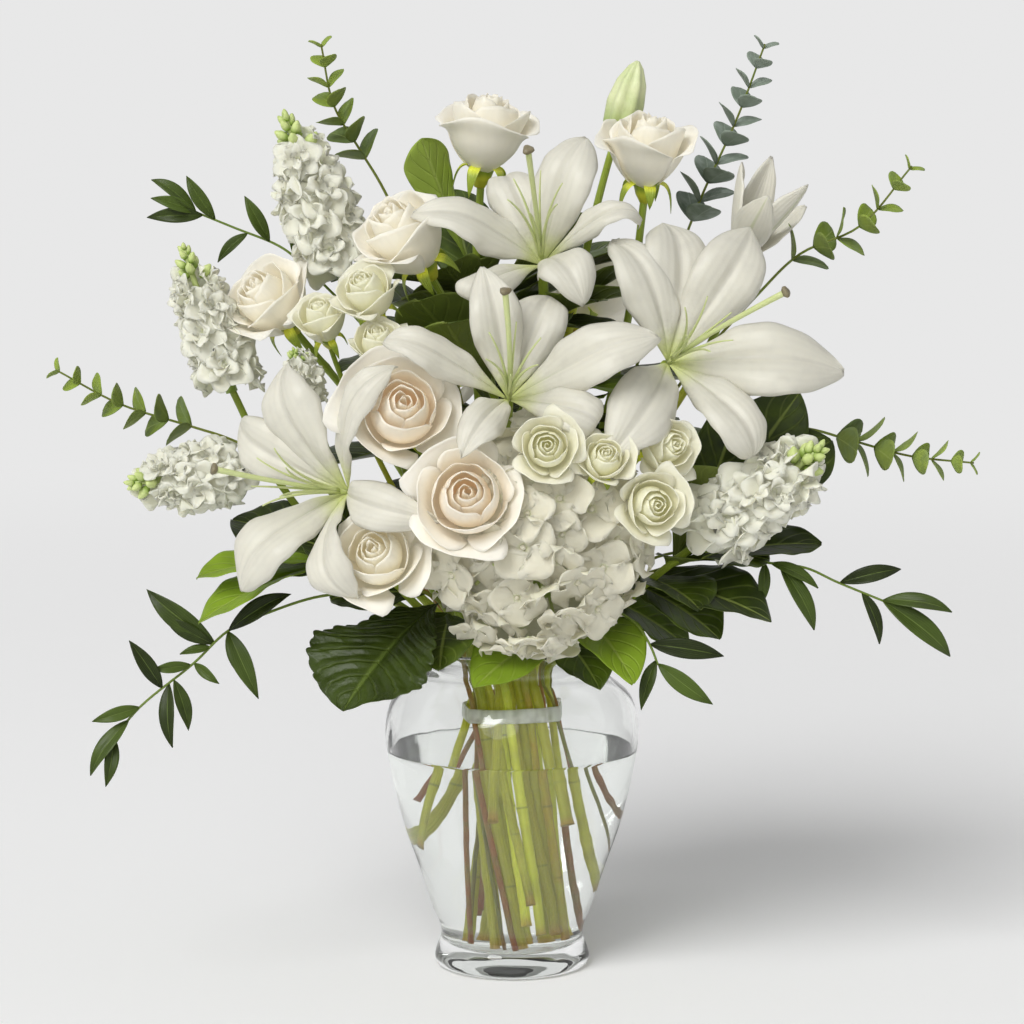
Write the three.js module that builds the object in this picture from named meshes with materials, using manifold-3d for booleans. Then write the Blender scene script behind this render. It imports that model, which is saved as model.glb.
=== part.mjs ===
// Lilies in a vase: white lilies, cream roses, a hydrangea, stock and mixed greens in a glass vase of water.
// Millimetres, +Z up. The vase stands on z = 0 around the Z axis, and the front of the bunch faces -Y.

import * as THREE from 'three';
import { mergeVertices } from 'three/addons/utils/BufferGeometryUtils.js';
import Module from 'manifold-3d';

const wasm = await Module();
wasm.setup();

// ---- driving dimensions ----

const VASE_HEIGHT = 203;
const FOOT_RADIUS = 48.5;
const WAIST_RADIUS = 44.5;
const BELLY_RADIUS = 79;
const NECK_RADIUS = 55;
const RIM_RADIUS = 65;
const GLASS = 3;
const FLOOR_HEIGHT = 10;
const WATER_LEVEL = 137;
const GAP = 0.3;
const AROUND = 18;

// How far facets may move when the finest are merged; the later ones are for a body that the first spoils.
const FACET_MOVES = [0.15, 0.12, 0.17, 0.09, 0.2, 0.05, 0.02];

const NECK_HEIGHT = 188;
const STEM_SPACE = 38;
const STEM_FOOT = 15;
const STEM_TWIST = THREE.MathUtils.degToRad(62);
const TIE_HEIGHT = 160;
const TIE_WIDTH = 4;
const TIE_ROOM = 0.8;
const TIE_THICKNESS = 1.2;

const STEM_ROOM = 1.5;
const MAKING_ROOM_ROUNDS = 300;

const LEAF_THICKNESS = 1.1;
const TEPAL_THICKNESS = 1.6;
const PETAL_THICKNESS = 1.3;

const LILY_THROAT = 20;
const FUNNEL_RADIUS = 7;
const FUNNEL_LENGTH = 24;
const STYLE_RADIUS = 1.4;
const STIGMA_RADIUS = 3.4;
const SHUT_THROAT_RADIUS = 6;
const SHUT_THROAT_LENGTH = 44;

// ---- the front view ----

// Each flower and leaf is placed by where it shows from the front, in steps across and down a square view
// of 1024 steps, and by its depth in millimetres, which is negative toward the viewer.
const VIEW_MIDDLE = 512;
const VIEW_FOCAL = 3064.5;
const VIEW_DISTANCE = 1900;
const VIEW_HEIGHT = 285;
const VIEW_TILT = THREE.MathUtils.degToRad(6.5);
const AHEAD = new THREE.Vector3(0, Math.cos(VIEW_TILT), -Math.sin(VIEW_TILT));
const ABOVE = new THREE.Vector3(0, Math.sin(VIEW_TILT), Math.cos(VIEW_TILT));
const EYE = new THREE.Vector3(0, 0, VIEW_HEIGHT).addScaledVector(AHEAD, -VIEW_DISTANCE);

function at(across, down, depth) {
  const ray = new THREE.Vector3(across - VIEW_MIDDLE, 0, 0)
    .addScaledVector(AHEAD, VIEW_FOCAL)
    .addScaledVector(ABOVE, VIEW_MIDDLE - down);
  return ray.multiplyScalar((depth - EYE.y) / ray.y).add(EYE);
}

const toward = (x, y, z) => new THREE.Vector3(x, y, z).normalize();
const GOLDEN = Math.PI * (3 - Math.sqrt(5));

// Draws that are the same on each run.
function draws(seed) {
  let state = seed;
  return () => {
    state = (state * 16807) % 2147483647;
    return state / 2147483647;
  };
}

// ---- shapes ----

/** A geometry from a flat list of coordinates and its faces. */
function faceted(positions, faces) {
  const geometry = new THREE.BufferGeometry();
  geometry.setAttribute('position', new THREE.Float32BufferAttribute(positions, 3));
  geometry.setIndex(faces);
  return geometry;
}

/**
 * A closed thin blade, lens-shaped in section. point(along, across) gives its middle, and grow swells it
 * by that much on every side.
 */
function bladeGeometry(point, rows, columns, thickness, grow) {
  const positions = [];
  const step = 0.02;
  const add = (p) => positions.push(p.x, p.y, p.z) / 3 - 1;
  const corner = (along, across) => {
    const near = THREE.MathUtils.clamp(along, 2 * step, 1 - 2 * step);
    const ahead = point(near + step, across).sub(point(near - step, across));
    const beside = point(near, across + step).sub(point(near, across - step));
    const inside = near === along && Math.abs(across) < 1;
    const normal = ahead.cross(beside).setLength(grow + (inside ? thickness / 2 : 0));
    const place = point(along, across);
    if (!inside) {
      const inner = point(THREE.MathUtils.clamp(along, step, 1 - step), across * (1 - step));
      place.add(place.clone().sub(inner).setLength(grow));
    }
    return [add(place.clone().add(normal)), add(place.sub(normal))];
  };
  const base = corner(0, 0);
  const tip = corner(1, 0);
  const grid = rows.map((along) => Array.from(
    { length: columns + 1 },
    (_, k) => corner(along, (2 * k) / columns - 1),
  ));
  const last = rows.length - 1;
  const faces = [];
  for (const side of [0, 1]) {
    const face = (a, b, c) => faces.push(...(side === 0 ? [a, b, c] : [a, c, b]).map((pair) => pair[side]));
    for (let k = 0; k < columns; k += 1) {
      face(base, grid[0][k], grid[0][k + 1]);
      face(grid[last][k], tip, grid[last][k + 1]);
      for (let i = 0; i < last; i += 1) {
        face(grid[i][k], grid[i + 1][k], grid[i + 1][k + 1]);
        face(grid[i][k], grid[i + 1][k + 1], grid[i][k + 1]);
      }
    }
  }
  const left = grid.map((row) => row[0]);
  const right = grid.map((row) => row[columns]).reverse();
  const rim = [base, ...left, tip, ...right, base];
  for (let k = 1; k < rim.length; k += 1) {
    const [[here, hereLow], [next, nextLow]] = [rim[k - 1], rim[k]];
    faces.push(next, here, hereLow, next, hereLow, nextLow);
  }
  return faceted(positions, faces);
}

/** A floret: a dished plate of lobes and notches that tapers to its stalk inside the head. */
function floretGeometry(root, centre, radius, turn, lobes, random) {
  const axis = centre.clone().sub(root).normalize();
  const across = new THREE.Vector3(0.3, 0.5, 1).cross(axis).normalize();
  const other = axis.clone().cross(across);
  const positions = [...root.toArray(), ...centre.toArray()];
  const points = 2 * lobes;
  const faces = [];
  for (let k = 0; k < points; k += 1) {
    const lobe = k % 2 === 0;
    const size = radius * (lobe ? 0.95 + 0.2 * random() : 0.66);
    const lift = radius * (lobe ? 0.35 * random() - 0.05 : 0);
    const angle = (2 * Math.PI * k) / points + turn;
    const rim = centre.clone()
      .addScaledVector(across, size * Math.cos(angle))
      .addScaledVector(other, size * Math.sin(angle))
      .addScaledVector(axis, lift);
    positions.push(...rim.toArray());
    faces.push(1, k + 2, ((k + 1) % points) + 2, 0, ((k + 1) % points) + 2, k + 2);
  }
  return faceted(positions, faces);
}

/** A route of straight runs from point to point. */
class Route extends THREE.Curve {
  constructor(points) {
    super();
    this.points = points;
  }

  getPoint(t, target = new THREE.Vector3()) {
    const place = THREE.MathUtils.clamp(t, 0, 1) * (this.points.length - 1);
    const index = Math.min(Math.floor(place), this.points.length - 2);
    return target.lerpVectors(this.points[index], this.points[index + 1], place - index);
  }

  getUtoTmapping(u) {
    return u;
  }
}

/** A square stem of even thickness along a list of points; grow swells it, and lengthens it at both ends. */
function stem(points, radius, grow) {
  const wide = radius + grow;
  const section = new THREE.Shape([[wide, 0], [0, wide], [-wide, 0], [0, -wide]].map(
    ([x, y]) => new THREE.Vector2(x, y),
  ));
  const beyond = (end, before) => end.clone().add(end.clone().sub(before).setLength(grow));
  const route = [beyond(points[0], points[1]), ...points.slice(1, -1), beyond(points.at(-1), points.at(-2))];
  return new THREE.ExtrudeGeometry(section, {
    steps: points.length - 1,
    bevelEnabled: false,
    extrudePath: new Route(route),
  });
}

/** Points along a bent line from one place to another. */
function bent(from, bend, to, count) {
  return new THREE.QuadraticBezierCurve3(from, bend, to).getPoints(count);
}

/** The middle surface of a leaf or tepal along a bent rib. */
function ribbon({
  from, bend, to, face, width, fullest = 0.5, fill = 0.8, fold = 0.25, wave = 0, waves = 2, phase = 0,
}) {
  const rib = new THREE.QuadraticBezierCurve3(from, bend, to);
  const power = Math.log(0.5) / Math.log(fullest);
  return (along, across) => {
    const tangent = rib.getTangent(THREE.MathUtils.clamp(along, 0, 1));
    const side = tangent.clone().cross(face).normalize();
    const up = side.clone().cross(tangent);
    const half = (width / 2) * Math.sin(Math.PI * THREE.MathUtils.clamp(along, 0, 1) ** power) ** fill;
    const ruffle = Math.sin(2 * Math.PI * waves * along + phase + across);
    return rib.getPoint(THREE.MathUtils.clamp(along, 0, 1))
      .addScaledVector(side, half * across)
      .addScaledVector(up, fold * half * Math.abs(across) + wave * ruffle * across * across);
  };
}

/** A leaf from its base to its tip. */
function leaf({ from, to, width, face, arch, fullest, rows = [fullest - 0.18, fullest + 0.2] }, grow) {
  const bend = from.clone().lerp(to, 0.5).addScaledVector(face, arch * from.distanceTo(to));
  return bladeGeometry(ribbon({ from, bend, to, face, width, fullest }), rows, 2, LEAF_THICKNESS, grow);
}

/** The middle surface of one cupped petal that stands round the Z axis. */
function cup({ radius, height, turn, spread, flare, droop }) {
  return (along, across) => {
    const half = spread * Math.sin(Math.PI * (0.07 + 0.83 * along)) ** 0.5;
    const angle = turn + half * across;
    const swell = Math.sin(Math.min(1, along * 1.15) * Math.PI / 2) ** 0.75;
    const lip = along ** 5;
    const out = radius * (0.08 + 0.92 * swell + flare * lip);
    const rise = height * (along - droop * lip - 0.06 * across * across);
    return new THREE.Vector3(out * Math.cos(angle), out * Math.sin(angle), rise);
  };
}

// ---- solids ----

/** Makes a closed body of a geometry, turned to face out. */
function body(geometry) {
  const plain = geometry.clone();
  plain.deleteAttribute('normal');
  plain.deleteAttribute('uv');
  const merged = mergeVertices(plain, 1e-4);
  const corners = Array.from(merged.index.array);
  const place = merged.attributes.position;
  const kept = [];
  let volume = 0;
  const [a, b, c] = [new THREE.Vector3(), new THREE.Vector3(), new THREE.Vector3()];
  for (let i = 0; i < corners.length; i += 3) {
    const [p, q, r] = corners.slice(i, i + 3);
    if (p !== q && q !== r && r !== p) {
      kept.push(p, q, r);
      a.fromBufferAttribute(place, p);
      b.fromBufferAttribute(place, q);
      c.fromBufferAttribute(place, r);
      volume += a.dot(b.cross(c));
    }
  }
  if (volume < 0) {
    kept.reverse();
  }
  return new wasm.Manifold(new wasm.Mesh({
    numProp: 3,
    vertProperties: new Float32Array(place.array),
    triVerts: new Uint32Array(kept),
  }));
}

const fuse = (geometries) => wasm.Manifold.union(geometries.map(body));

/** The largest of the bodies that a solid falls into. */
function largest(solid) {
  return solid.decompose().reduce((best, one) => (one.volume() > best.volume() ? one : best));
}

/** Whether no two corners of a solid round to one place, in hundredths of a millimetre. */
function cornersApart(solid) {
  const flat = solid.getMesh().vertProperties;
  const places = new Set();
  for (let i = 0; i < flat.length; i += 3) {
    places.add([flat[i], flat[i + 1], flat[i + 2]].map((value) => Math.round(100 * value)).join());
  }
  return places.size === flat.length / 3;
}

/** The main body of a solid without its finest facets. */
function tidied(solid) {
  const tries = FACET_MOVES.map((distance) => largest(solid.simplify(distance)));
  return tries.find(cornersApart) ?? tries[0];
}

function boxesMeet(one, other) {
  const [a, b] = [one.boundingBox(), other.boundingBox()];
  return [0, 1, 2].every((k) => a.min[k] <= b.max[k] && b.min[k] <= a.max[k]);
}

/** A solid without the room that the guards of other pieces take. */
function clearOf(solid, guards) {
  const near = guards.filter((guard) => boxesMeet(solid, guard));
  return near.length > 0 ? solid.subtract(wasm.Manifold.union(near)) : solid;
}

/** The hull of a solid, swollen by a distance. */
function swollenHull(solid, grow) {
  const hull = solid.hull();
  const box = hull.boundingBox();
  const middle = box.min.map((low, k) => (low + box.max[k]) / 2);
  const factors = box.min.map((low, k) => 1 + (2 * grow) / (box.max[k] - low));
  return hull.translate(middle.map((m) => -m)).scale(factors).translate(middle);
}

// ---- vase, water and tie ----

function turned(profile) {
  const points = profile.map(([radius, height]) => new THREE.Vector2(radius, height));
  return new THREE.LatheGeometry(points, AROUND).rotateX(Math.PI / 2);
}

const VASE_OUTSIDE = [
  [FOOT_RADIUS - 4, 0],
  [FOOT_RADIUS, 5],
  [WAIST_RADIUS, 19],
  [50, 36],
  [58, 61],
  [68, 90],
  [77, 128],
  [BELLY_RADIUS, 152],
  [74, 170],
  [NECK_RADIUS, 188],
  [RIM_RADIUS, VASE_HEIGHT],
];

const VASE_INSIDE = [
  [RIM_RADIUS - GLASS, VASE_HEIGHT],
  [NECK_RADIUS - GLASS, 188],
  [71, 169],
  [BELLY_RADIUS - GLASS, 152],
  [74, 128],
  [65, 90],
  [55, 61],
  [45, 34],
  [33, FLOOR_HEIGHT],
];

function vase(grow) {
  const outside = VASE_OUTSIDE.map(([radius, height]) => [radius + grow, height]);
  const inside = VASE_INSIDE.map(([radius, height]) => [radius - grow, height]);
  return [turned([[0, 0], ...outside, ...inside, [0, FLOOR_HEIGHT + grow]])];
}

function water() {
  const wall = VASE_INSIDE.filter(([, height]) => height < WATER_LEVEL)
    .map(([radius, height]) => [radius - 1.5 * GAP, height + GAP]);
  const top = BELLY_RADIUS - GLASS - 1.8;
  return [turned([[0, WATER_LEVEL], [top, WATER_LEVEL], ...wall, [0, FLOOR_HEIGHT + GAP]])];
}

// ---- flowers ----

/** The turn that brings +Z onto an axis. */
function facing(axis) {
  return new THREE.Quaternion().setFromUnitVectors(new THREE.Vector3(0, 0, 1), axis);
}

/** A six-sided cone that widens from near its root along an axis. */
function funnel(root, axis, radius, length) {
  return new THREE.ConeGeometry(radius, length, 6).rotateX(-Math.PI / 2).translate(0, 0, length / 3)
    .applyQuaternion(facing(axis)).translate(root.x, root.y, root.z);
}

/** A lily: six tepals in two rings and a style with its stigma, on a funnel throat. */
function lily({ throat, axis, style, tepals }, grow) {
  const root = throat.clone().addScaledVector(axis, -LILY_THROAT);
  const parts = tepals.map(({ tip, width, reach = 0.42, lift = 26 }, k) => {
    const out = tip.clone().sub(throat);
    const bend = throat.clone()
      .addScaledVector(out.clone().addScaledVector(axis, -out.dot(axis)), reach)
      .addScaledVector(axis, lift);
    const middle = ribbon({
      from: root, bend, to: tip, face: axis, width,
      fullest: 0.6, fill: 1.1, fold: 0.3, wave: 2, waves: 1.5, phase: k,
    });
    return bladeGeometry(middle, [0.25, 0.46, 0.66, 0.86], 2, TEPAL_THICKNESS, grow);
  });
  const ahead = throat.clone().addScaledVector(axis, 1.5 * LILY_THROAT);
  parts.push(stem(bent(root, ahead, style, 2), STYLE_RADIUS, grow));
  parts.push(new THREE.OctahedronGeometry(STIGMA_RADIUS + grow, 0).translate(style.x, style.y, style.z));
  parts.push(funnel(root, axis, FUNNEL_RADIUS + grow, FUNNEL_LENGTH));
  return parts;
}

/** A half-open lily: tepals that still stand together round a slim throat. */
function halfOpenLily({ base, tips, width }, grow) {
  const middle = tips.reduce((sum, tip) => sum.add(tip), new THREE.Vector3()).divideScalar(tips.length);
  const axis = middle.clone().sub(base).normalize();
  const throat = funnel(base, axis, SHUT_THROAT_RADIUS + grow, SHUT_THROAT_LENGTH);
  return [throat, ...tips.map((tip) => {
    const out = tip.clone().sub(base);
    out.addScaledVector(axis, -out.dot(axis));
    const aside = out.normalize();
    const bend = base.clone().lerp(tip, 0.45).addScaledVector(aside, 7);
    const surface = ribbon({
      from: base, bend, to: tip, face: aside.clone().negate(), width, fullest: 0.5, fold: 0.5,
    });
    return bladeGeometry(surface, [0.2, 0.5, 0.8], 2, 2 * TEPAL_THICKNESS, grow);
  })];
}

/** A shut bud with six ribs. */
function lilyBud({ base, tip, width }, grow) {
  const axis = tip.clone().sub(base);
  const profile = [[0, 0], [0.3, 0.06], [0.42, 0.3], [0.5, 0.62], [0.3, 0.88], [0, 1]]
    .map(([radius, rise]) => new THREE.Vector2(radius * (width + 2 * grow), rise * axis.length()));
  const shape = new THREE.LatheGeometry(profile, 6).rotateX(Math.PI / 2);
  return [shape.applyQuaternion(facing(axis.normalize())).translate(base.x, base.y, base.z)];
}

/** A rose: rings of cupped petals that stand round a furled heart. */
function rose({ centre, axis, size, rings, seed }) {
  const random = draws(seed);
  const parts = [];
  const height = size * 0.86;
  for (const [ring, { count, radius, rise, flare, droop, rows }] of rings.entries()) {
    for (let k = 0; k < count; k += 1) {
      const surface = cup({
        radius: (radius * size) / 2,
        height: rise * height * (0.97 + 0.06 * random()),
        turn: seed + ring * 0.6 + (2 * Math.PI * k) / count,
        spread: (0.98 * Math.PI) / count,
        flare,
        droop,
      });
      parts.push(bladeGeometry(surface, rows, 2, PETAL_THICKNESS, 0));
    }
  }
  const heart = [[0, -0.03], [0.1, 0.02], [0.22, 0.45], [0.27, 0.72], [0.13, 0.98], [0, 0.92]]
    .map(([radius, rise]) => new THREE.Vector2(radius * size, rise * height));
  parts.push(new THREE.LatheGeometry(heart, 6).rotateX(Math.PI / 2));
  const base = centre.clone().addScaledVector(axis, -height / 2);
  return parts.map((part) => part.applyQuaternion(facing(axis)).translate(base.x, base.y, base.z));
}

/** A hydrangea head: florets set all round a core, but for the side of its stalk. */
function hydrangea({ centre, axis, radius, floret, count }) {
  const random = draws(77);
  const parts = [new THREE.IcosahedronGeometry(radius * 0.88, 1).translate(centre.x, centre.y, centre.z)];
  for (let k = 0; k < count; k += 1) {
    const rise = 1 - (1.6 * (k + 0.5)) / count;
    const flat = Math.sqrt(1 - rise * rise);
    const out = new THREE.Vector3(flat * Math.cos(GOLDEN * k), flat * Math.sin(GOLDEN * k), rise)
      .applyQuaternion(facing(axis));
    const top = centre.clone().addScaledVector(out, radius * (0.96 + 0.06 * random()));
    const root = top.clone().addScaledVector(out, -radius * 0.14);
    parts.push(floretGeometry(root, top, floret / 2, random() * 2 * Math.PI, 4, random));
  }
  return parts;
}

/** A spike of stock: florets wound round its core, with buds toward the tip. */
function stockSpike({ base, tip, width, count, buds, seed }) {
  const random = draws(seed);
  const axis = tip.clone().sub(base);
  const length = axis.length();
  axis.normalize();
  const core = [[0, 0], [0.28, 0.1], [0.3, 0.5], [0.12, 0.86], [0, 1]]
    .map(([radius, rise]) => new THREE.Vector2(radius * width, rise * length));
  const parts = [
    new THREE.LatheGeometry(core, 6).rotateX(Math.PI / 2)
      .applyQuaternion(facing(axis)).translate(base.x, base.y, base.z),
  ];
  const outAt = (k, lean) => new THREE.Vector3(Math.cos(GOLDEN * k), Math.sin(GOLDEN * k), lean)
    .normalize().applyQuaternion(facing(axis));
  for (let k = 0; k < count; k += 1) {
    const out = outAt(k, 0.3);
    const place = base.clone().addScaledVector(axis, length * (0.12 + (0.62 * k) / count));
    const top = place.clone().addScaledVector(out, width * 0.4);
    const root = place.clone().addScaledVector(out, width * 0.2);
    parts.push(floretGeometry(root, top, width * 0.28, random() * 6, 4, random));
  }
  for (let k = 0; k < buds; k += 1) {
    const out = outAt(k, 0.8);
    const rise = 0.74 + (0.22 * k) / buds;
    const place = base.clone().addScaledVector(axis, length * rise)
      .addScaledVector(out, width * (0.26 - 0.8 * (rise - 0.74)));
    const knob = new THREE.OctahedronGeometry(1, 0).scale(width * 0.09, width * 0.09, width * 0.15);
    parts.push(knob.applyQuaternion(facing(out)).translate(place.x, place.y, place.z));
  }
  return parts;
}

/** A sprig with pairs of round leaves along its stem, each pair crosswise to the last. */
function eucalyptus({ points, pairs, smallest, largestLeaf }, grow) {
  const route = new THREE.CatmullRomCurve3(points);
  const parts = [];
  for (let k = 0; k < pairs; k += 1) {
    const along = 1 - (0.02 + (0.88 * k) / pairs);
    const place = route.getPointAt(along);
    const ahead = route.getTangentAt(along);
    const size = THREE.MathUtils.lerp(smallest, largestLeaf, (k / pairs) ** 0.7);
    const beside = ahead.clone().cross(toward(0, -1, 0.3)).normalize();
    const other = ahead.clone().cross(beside);
    const turn = (k % 2) * (Math.PI / 2) + 0.5;
    for (const side of [0, Math.PI]) {
      const out = beside.clone().multiplyScalar(Math.cos(turn + side))
        .addScaledVector(other, Math.sin(turn + side));
      const tip = place.clone().addScaledVector(out, size * 0.8).addScaledVector(ahead, size * 0.55);
      const face = out.clone().multiplyScalar(-0.5).add(ahead).normalize();
      const root = place.clone().addScaledVector(out, 0.7);
      const round = { width: size * 0.8, arch: 0.1, fullest: 0.5, rows: k < pairs / 2 ? [0.5] : undefined };
      parts.push(leaf({ from: root, to: tip, face, ...round }, grow));
    }
  }
  return parts;
}

// ---- where everything is ----

const LILIES = [
  {
    name: 'lily_top',
    throat: at(540, 243, -62), axis: toward(-0.08, -0.72, 0.7), style: at(528, 150, -112),
    tepals: [
      { tip: at(425, 194, -84), width: 36, lift: 20 },
      { tip: at(464, 312, -104), width: 30, reach: 0.9, lift: 34 },
      { tip: at(585, 290, -116), width: 34, lift: 26 },
      { tip: at(652, 204, -70), width: 20, reach: 0.6, lift: 30 },
      { tip: at(579, 127, -58), width: 38 },
      { tip: at(497, 158, -28), width: 34 },
    ],
  },
  {
    name: 'lily_middle',
    throat: at(510, 385, -128), axis: toward(0.05, -0.86, 0.5), style: at(505, 291, -166),
    tepals: [
      { tip: at(390, 328, -148), width: 26, reach: 0.65, lift: 26 },
      { tip: at(488, 268, -136), width: 32, lift: 20 },
      { tip: at(556, 274, -86), width: 36, lift: 14 },
      { tip: at(641, 326, -150), width: 38, reach: 0.6, lift: 20 },
      { tip: at(604, 438, -186), width: 36, reach: 0.75, lift: 30 },
      { tip: at(463, 453, -186), width: 34, lift: 16 },
    ],
  },
  {
    name: 'lily_right',
    throat: at(681, 352, -92), axis: toward(0.35, -0.85, 0.38), style: at(786, 292, -140),
    tepals: [
      { tip: at(618, 221, -74), width: 38, lift: 16 },
      { tip: at(676, 199, -50), width: 46, lift: 16 },
      { tip: at(766, 216, -66), width: 42, lift: 20 },
      { tip: at(846, 357, -104), width: 48, lift: 20 },
      { tip: at(768, 452, -122), width: 36, lift: 26, reach: 0.6 },
      { tip: at(626, 442, -160), width: 42, lift: 16 },
    ],
  },
  {
    name: 'lily_left',
    throat: at(323, 489, -108), axis: toward(-0.72, -0.62, 0.16), style: at(214, 469, -138),
    tepals: [
      { tip: at(262, 361, -96), width: 44, lift: 24 },
      { tip: at(217, 420, -72), width: 34, lift: 22 },
      { tip: at(221, 575, -122), width: 44, lift: 26 },
      { tip: at(343, 612, -150), width: 32, lift: 30, reach: 0.55 },
      { tip: at(430, 522, -168), width: 28, lift: 18 },
      { tip: at(372, 356, -148), width: 26, lift: 24, reach: 0.55 },
    ],
  },
];

const HALF_OPEN = {
  base: at(734, 262, -14),
  tips: [at(742, 162, -16), at(772, 156, 2), at(808, 184, -30), at(806, 206, 6), at(768, 196, -52)],
  width: 24,
};
const BUD = { base: at(613, 146, 26), tip: at(638, 61, 20), width: 21 };

const OPEN_RINGS = [
  { count: 5, radius: 1, rise: 0.74, flare: 0.05, droop: 0.12, rows: [0.4, 0.88] },
  { count: 4, radius: 0.78, rise: 0.93, flare: 0.03, droop: 0.03, rows: [0.42, 0.86] },
];
const SPRAY_RINGS = [
  { count: 4, radius: 1, rise: 0.86, flare: 0.04, droop: 0.05, rows: [0.42, 0.86] },
  { count: 2, radius: 0.74, rise: 0.98, flare: 0, droop: 0, rows: [0.42, 0.86] },
];

const ROSES = [
  { name: 'rose_top_left', centre: at(486, 132, 14), axis: toward(0.12, -0.15, 1), size: 60 },
  { name: 'rose_top_right', centre: at(648, 150, -4), axis: toward(0.05, -0.3, 1), size: 58 },
  { name: 'rose_upper_left', centre: at(404, 236, -52), axis: toward(-0.5, -0.45, 0.75), size: 60 },
  { name: 'rose_left', centre: at(268, 301, -22), axis: toward(-0.5, -0.6, 0.62), size: 56 },
  { name: 'rose_middle', centre: at(401, 412, -118), axis: toward(0.1, -0.9, 0.35), size: 68 },
  { name: 'rose_front', centre: at(467, 499, -152), axis: toward(0, -0.93, 0.3), size: 66 },
  { name: 'rose_lower_left', centre: at(378, 557, -124), axis: toward(-0.15, -0.85, 0.4), size: 58 },
  { name: 'rose_back_right', centre: at(590, 300, 96), axis: toward(0.3, 0.8, 0.6), size: 62 },
  { name: 'rose_back_left', centre: at(430, 380, 104), axis: toward(-0.35, 0.9, 0.3), size: 62 },
];

const SPRAY_ROSES = [
  { name: 'spray_rose_1', centre: at(547, 449, -152), axis: toward(0, -0.95, 0.25), size: 40 },
  { name: 'spray_rose_2', centre: at(604, 461, -146), axis: toward(0.1, -0.8, 0.5), size: 35 },
  { name: 'spray_rose_3', centre: at(664, 447, -118), axis: toward(0.5, -0.8, 0.2), size: 40 },
  { name: 'spray_rose_4', centre: at(651, 505, -136), axis: toward(0.25, -0.93, 0.1), size: 42 },
  { name: 'spray_rose_5', centre: at(322, 320, -58), axis: toward(-0.2, -0.5, 0.8), size: 36 },
  { name: 'spray_rose_6', centre: at(368, 294, -78), axis: toward(-0.3, -0.6, 0.7), size: 40 },
  { name: 'spray_rose_7', centre: at(379, 346, -88), axis: toward(-0.1, -0.6, 0.8), size: 36 },
];

const HYDRANGEA = {
  centre: at(535, 530, -92), axis: toward(0.05, -0.95, -0.2), radius: 64, floret: 39, count: 22,
};

const STOCKS = [
  { name: 'stock_top_left', base: at(345, 275, -10), tip: at(283, 112, -22), width: 52, count: 7, buds: 3 },
  { name: 'stock_upper_left', base: at(232, 392, -20), tip: at(182, 244, -26), width: 44, count: 7, buds: 3 },
  { name: 'stock_left', base: at(240, 470, -42), tip: at(128, 484, -62), width: 45, count: 7, buds: 3 },
  { name: 'stock_right', base: at(704, 538, -74), tip: at(824, 446, -104), width: 54, count: 7, buds: 3 },
  { name: 'stock_small', base: at(308, 402, -72), tip: at(294, 350, -84), width: 27, count: 5, buds: 3 },
];

const EUCALYPTUS = [
  {
    name: 'eucalyptus_top_left', pairs: 5, smallest: 8, largestLeaf: 19,
    points: [at(384, 190, 26), at(360, 150, 24), at(334, 106, 20), at(321, 44, 16)],
  },
  {
    name: 'eucalyptus_top_right', pairs: 7, smallest: 7, largestLeaf: 25,
    points: [at(676, 262, 44), at(700, 200, 40), at(738, 116, 34), at(765, 44, 28)],
  },
  {
    name: 'eucalyptus_right', pairs: 5, smallest: 7, largestLeaf: 22,
    points: [at(760, 292, 4), at(800, 254, 0), at(860, 226, -10), at(912, 166, -18)],
  },
  {
    name: 'eucalyptus_left', pairs: 5, smallest: 7, largestLeaf: 20,
    points: [at(232, 440, 10), at(190, 426, 6), at(120, 404, 0), at(56, 370, -6)],
  },
  {
    name: 'eucalyptus_lower_right', pairs: 5, smallest: 6, largestLeaf: 22,
    points: [at(800, 428, -4), at(850, 440, -8), at(910, 456, -12), at(974, 463, -18)],
  },
];

// Each leaf runs from its base to its tip: across, down, across, down, and the depth of both ends.
const RUSCUS = [
  {
    name: 'ruscus_upper_left', depth: 18,
    points: [[300, 262, 12], [279, 246, 16], [235, 228, 20], [193, 211, 22]],
    leaves: [
      [191, 210, 151, 177], [183, 212, 150, 197], [201, 218, 145, 217], [215, 220, 185, 175],
      [267, 251, 244, 195], [244, 242, 216, 262], [293, 265, 292, 214],
    ],
  },
  {
    name: 'ruscus_lower_left', depth: -78,
    points: [
      [322, 596, -56], [270, 612, -64], [228, 631, -72], [194, 663, -78], [140, 707, -84], [112, 740, -88],
    ],
    leaves: [
      [192, 617, 144, 589], [205, 636, 163, 617], [152, 675, 129, 640], [175, 646, 152, 670],
      [206, 640, 179, 654], [194, 663, 219, 684], [182, 690, 190, 732], [167, 679, 171, 749],
      [142, 707, 91, 722], [127, 717, 88, 776], [114, 738, 106, 788], [284, 638, 259, 700],
      [261, 644, 246, 682], [274, 612, 291, 592],
    ],
  },
  {
    name: 'ruscus_right', depth: -62,
    points: [[716, 552, -48], [763, 562, -54], [806, 568, -60], [837, 582, -64], [886, 602, -68]],
    leaves: [
      [840, 582, 903, 568], [886, 602, 954, 610], [890, 606, 954, 657], [859, 596, 882, 645],
      [768, 573, 820, 587], [774, 592, 817, 631], [763, 562, 762, 606],
    ],
  },
  {
    name: 'ruscus_low_front', depth: -92,
    points: [[612, 610, -66], [636, 624, -84], [650, 645, -90], [658, 665, -92]],
    leaves: [[653, 640, 726, 656], [660, 662, 714, 706], [655, 660, 640, 711]],
  },
];

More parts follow.
